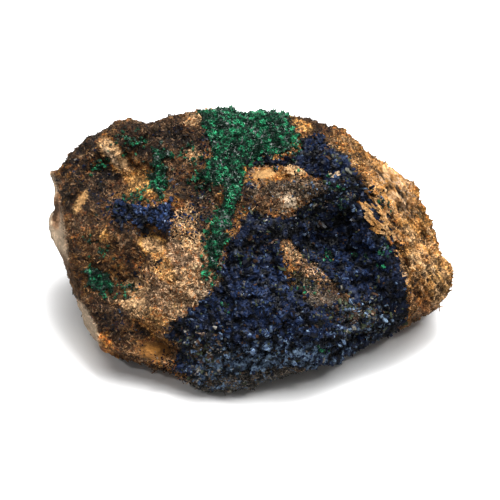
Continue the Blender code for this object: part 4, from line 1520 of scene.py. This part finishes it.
def build_grains():
    settings = bpy.context.scene.specimen_grains
    rng = np.random.default_rng(GRAIN_SEED)
    stone = bpy.data.objects["weathered_rock"]
    crusts = tree_of_crusts()
    surface = tree_of([stone] + [obj for obj in bpy.data.objects if "_bed" in obj.name])
    material = stone_material("rock grains", grainy=True)
    places = bare_places(stone, crusts, (settings.count, settings.back_count), 5, 0.5, rng)
    places = both(places, on_face(CRUMB_SPECKS, surface, rng, CRUMB_LIFT))
    shapes = grain_shapes()
    dress(plant("rock_grains", shapes, places, settings.size, GRAIN_HABIT, rng)[0], material, "matrix")
    remove(shapes)
    counts = settings.fibre_count, settings.fibre_back_count
    places = bare_places(stone, crusts, counts, 3, 0.4, rng)
    shapes = fibre_shapes()
    dress(plant("rock_fibres", shapes, places, settings.fibre_size, FIBRE_HABIT, rng)[0], material, "matrix")
    remove(shapes)
    dress(broken_chunks(surface, rng), stone_material("broken stone", grainy=False), "matrix")


def splinter(place, axes, size, seed):
    """One angular splinter: its three sizes in metres, along the rows of axes."""
    bpy.ops.mesh.primitive_cube_add(size=1)
    piece = bpy.context.object
    edit(piece)
    bpy.ops.mesh.subdivide(number_cuts=2)
    bpy.ops.transform.vertex_random(offset=0.16, seed=seed)
    leave_edit()
    placed = positions(piece.data) * size @ axes + np.array(place)
    set_positions(piece.data, np.maximum(placed, ABOVE_FLOOR))
    return piece


def broken_chunks(surface, rng):
    """Groups of angular splinters of stone that stick out of the surface."""
    pieces = []
    for u, v, *sizes, turn in CHUNKS:
        for _ in range(CHUNK_SPLINTERS):
            angle = math.radians(turn)
            steps = rng.uniform(-0.5, 0.5, 2) * (sizes[0] * CHUNK_SPREAD, sizes[1])
            place, normal = seen_through(*beside(u, v, *steps, angle), surface)
            if not place:
                continue
            size = np.array(sizes) * rng.uniform(LEAST_SPLINTER, GREATEST_SPLINTER) * MM
            angle += rng.normal(0, SPLINTER_TWIST)
            up = (normal + FACE_OUT + Vector(rng.normal(0, SPLINTER_LEAN, 3))).normalized()
            grain = from_face(math.cos(angle), math.sin(angle), 0) - from_face(0, 0, 0)
            side = up.cross(grain).normalized()
            pieces.append(splinter(place, np.array((side.cross(up), side, up)), size, len(pieces)))
    return joined(pieces, "rock_chunks")


# ---------------------------------------------------------------- operators


class BuildStage(bpy.types.Operator):
    """Floor, soft light and camera"""

    bl_idname = "specimen.stage"
    bl_label = "Stage"

    def execute(self, context):
        build_stage()
        return {"FINISHED"}


class BuildStone(bpy.types.Operator):
    """Weathered rock that carries the crystals"""

    bl_idname = "specimen.stone"
    bl_label = "Stone"

    def execute(self, context):
        build_stone()
        return {"FINISHED"}


class BuildAzurite(bpy.types.Operator):
    """Azurite beds, crystals and loose crystals"""

    bl_idname = "specimen.azurite"
    bl_label = "Azurite"

    def execute(self, context):
        build_azurite()
        return {"FINISHED"}


class BuildMalachite(bpy.types.Operator):
    """Malachite beds and tufts"""

    bl_idname = "specimen.malachite"
    bl_label = "Malachite"

    def execute(self, context):
        build_malachite()
        return {"FINISHED"}


class BuildGrains(bpy.types.Operator):
    """Loose grains of quartz and rock"""

    bl_idname = "specimen.grains"
    bl_label = "Grains"

    def execute(self, context):
        build_grains()
        return {"FINISHED"}


class SpecimenPanel(bpy.types.Panel):
    bl_label = "Azurite specimen"
    bl_idname = "VIEW3D_PT_specimen"
    bl_space_type = "VIEW_3D"
    bl_region_type = "UI"
    bl_category = "Specimen"

    def draw(self, context):
        for label, (operator, settings) in PANEL_ROWS.items():
            box = self.layout.box()
            box.operator(operator, text=label)
            group = getattr(context.scene, settings)
            for name in group.__annotations__:
                box.prop(group, name)


PANEL_ROWS = {
    "Stage": ("specimen.stage", "specimen_stage"),
    "Stone": ("specimen.stone", "specimen_stone"),
    "Azurite": ("specimen.azurite", "specimen_azurite"),
    "Malachite": ("specimen.malachite", "specimen_malachite"),
    "Grains": ("specimen.grains", "specimen_grains"),
}
SETTINGS = {
    "specimen_stage": StageSettings,
    "specimen_stone": StoneSettings,
    "specimen_azurite": AzuriteSettings,
    "specimen_malachite": MalachiteSettings,
    "specimen_grains": GrainSettings,
}
OPERATORS = (BuildStage, BuildStone, BuildAzurite, BuildMalachite, BuildGrains)
CLASSES = (*SETTINGS.values(), *OPERATORS, SpecimenPanel)
shared = {}


def register():
    for cls in CLASSES:
        bpy.utils.register_class(cls)
    for name, cls in SETTINGS.items():
        setattr(bpy.types.Scene, name, PointerProperty(type=cls))


def unregister():
    for name in SETTINGS:
        delattr(bpy.types.Scene, name)
    for cls in reversed(CLASSES):
        bpy.utils.unregister_class(cls)


def main():
    register()
    shared["face"] = face_group()
    shared["patch"] = patch_group()
    shared["stains"] = stain_and_shade_group()
    bpy.ops.specimen.stage()
    bpy.ops.specimen.stone()
    bpy.ops.specimen.azurite()
    bpy.ops.specimen.malachite()
    bpy.ops.specimen.grains()


if __name__ == "__main__":
    main()
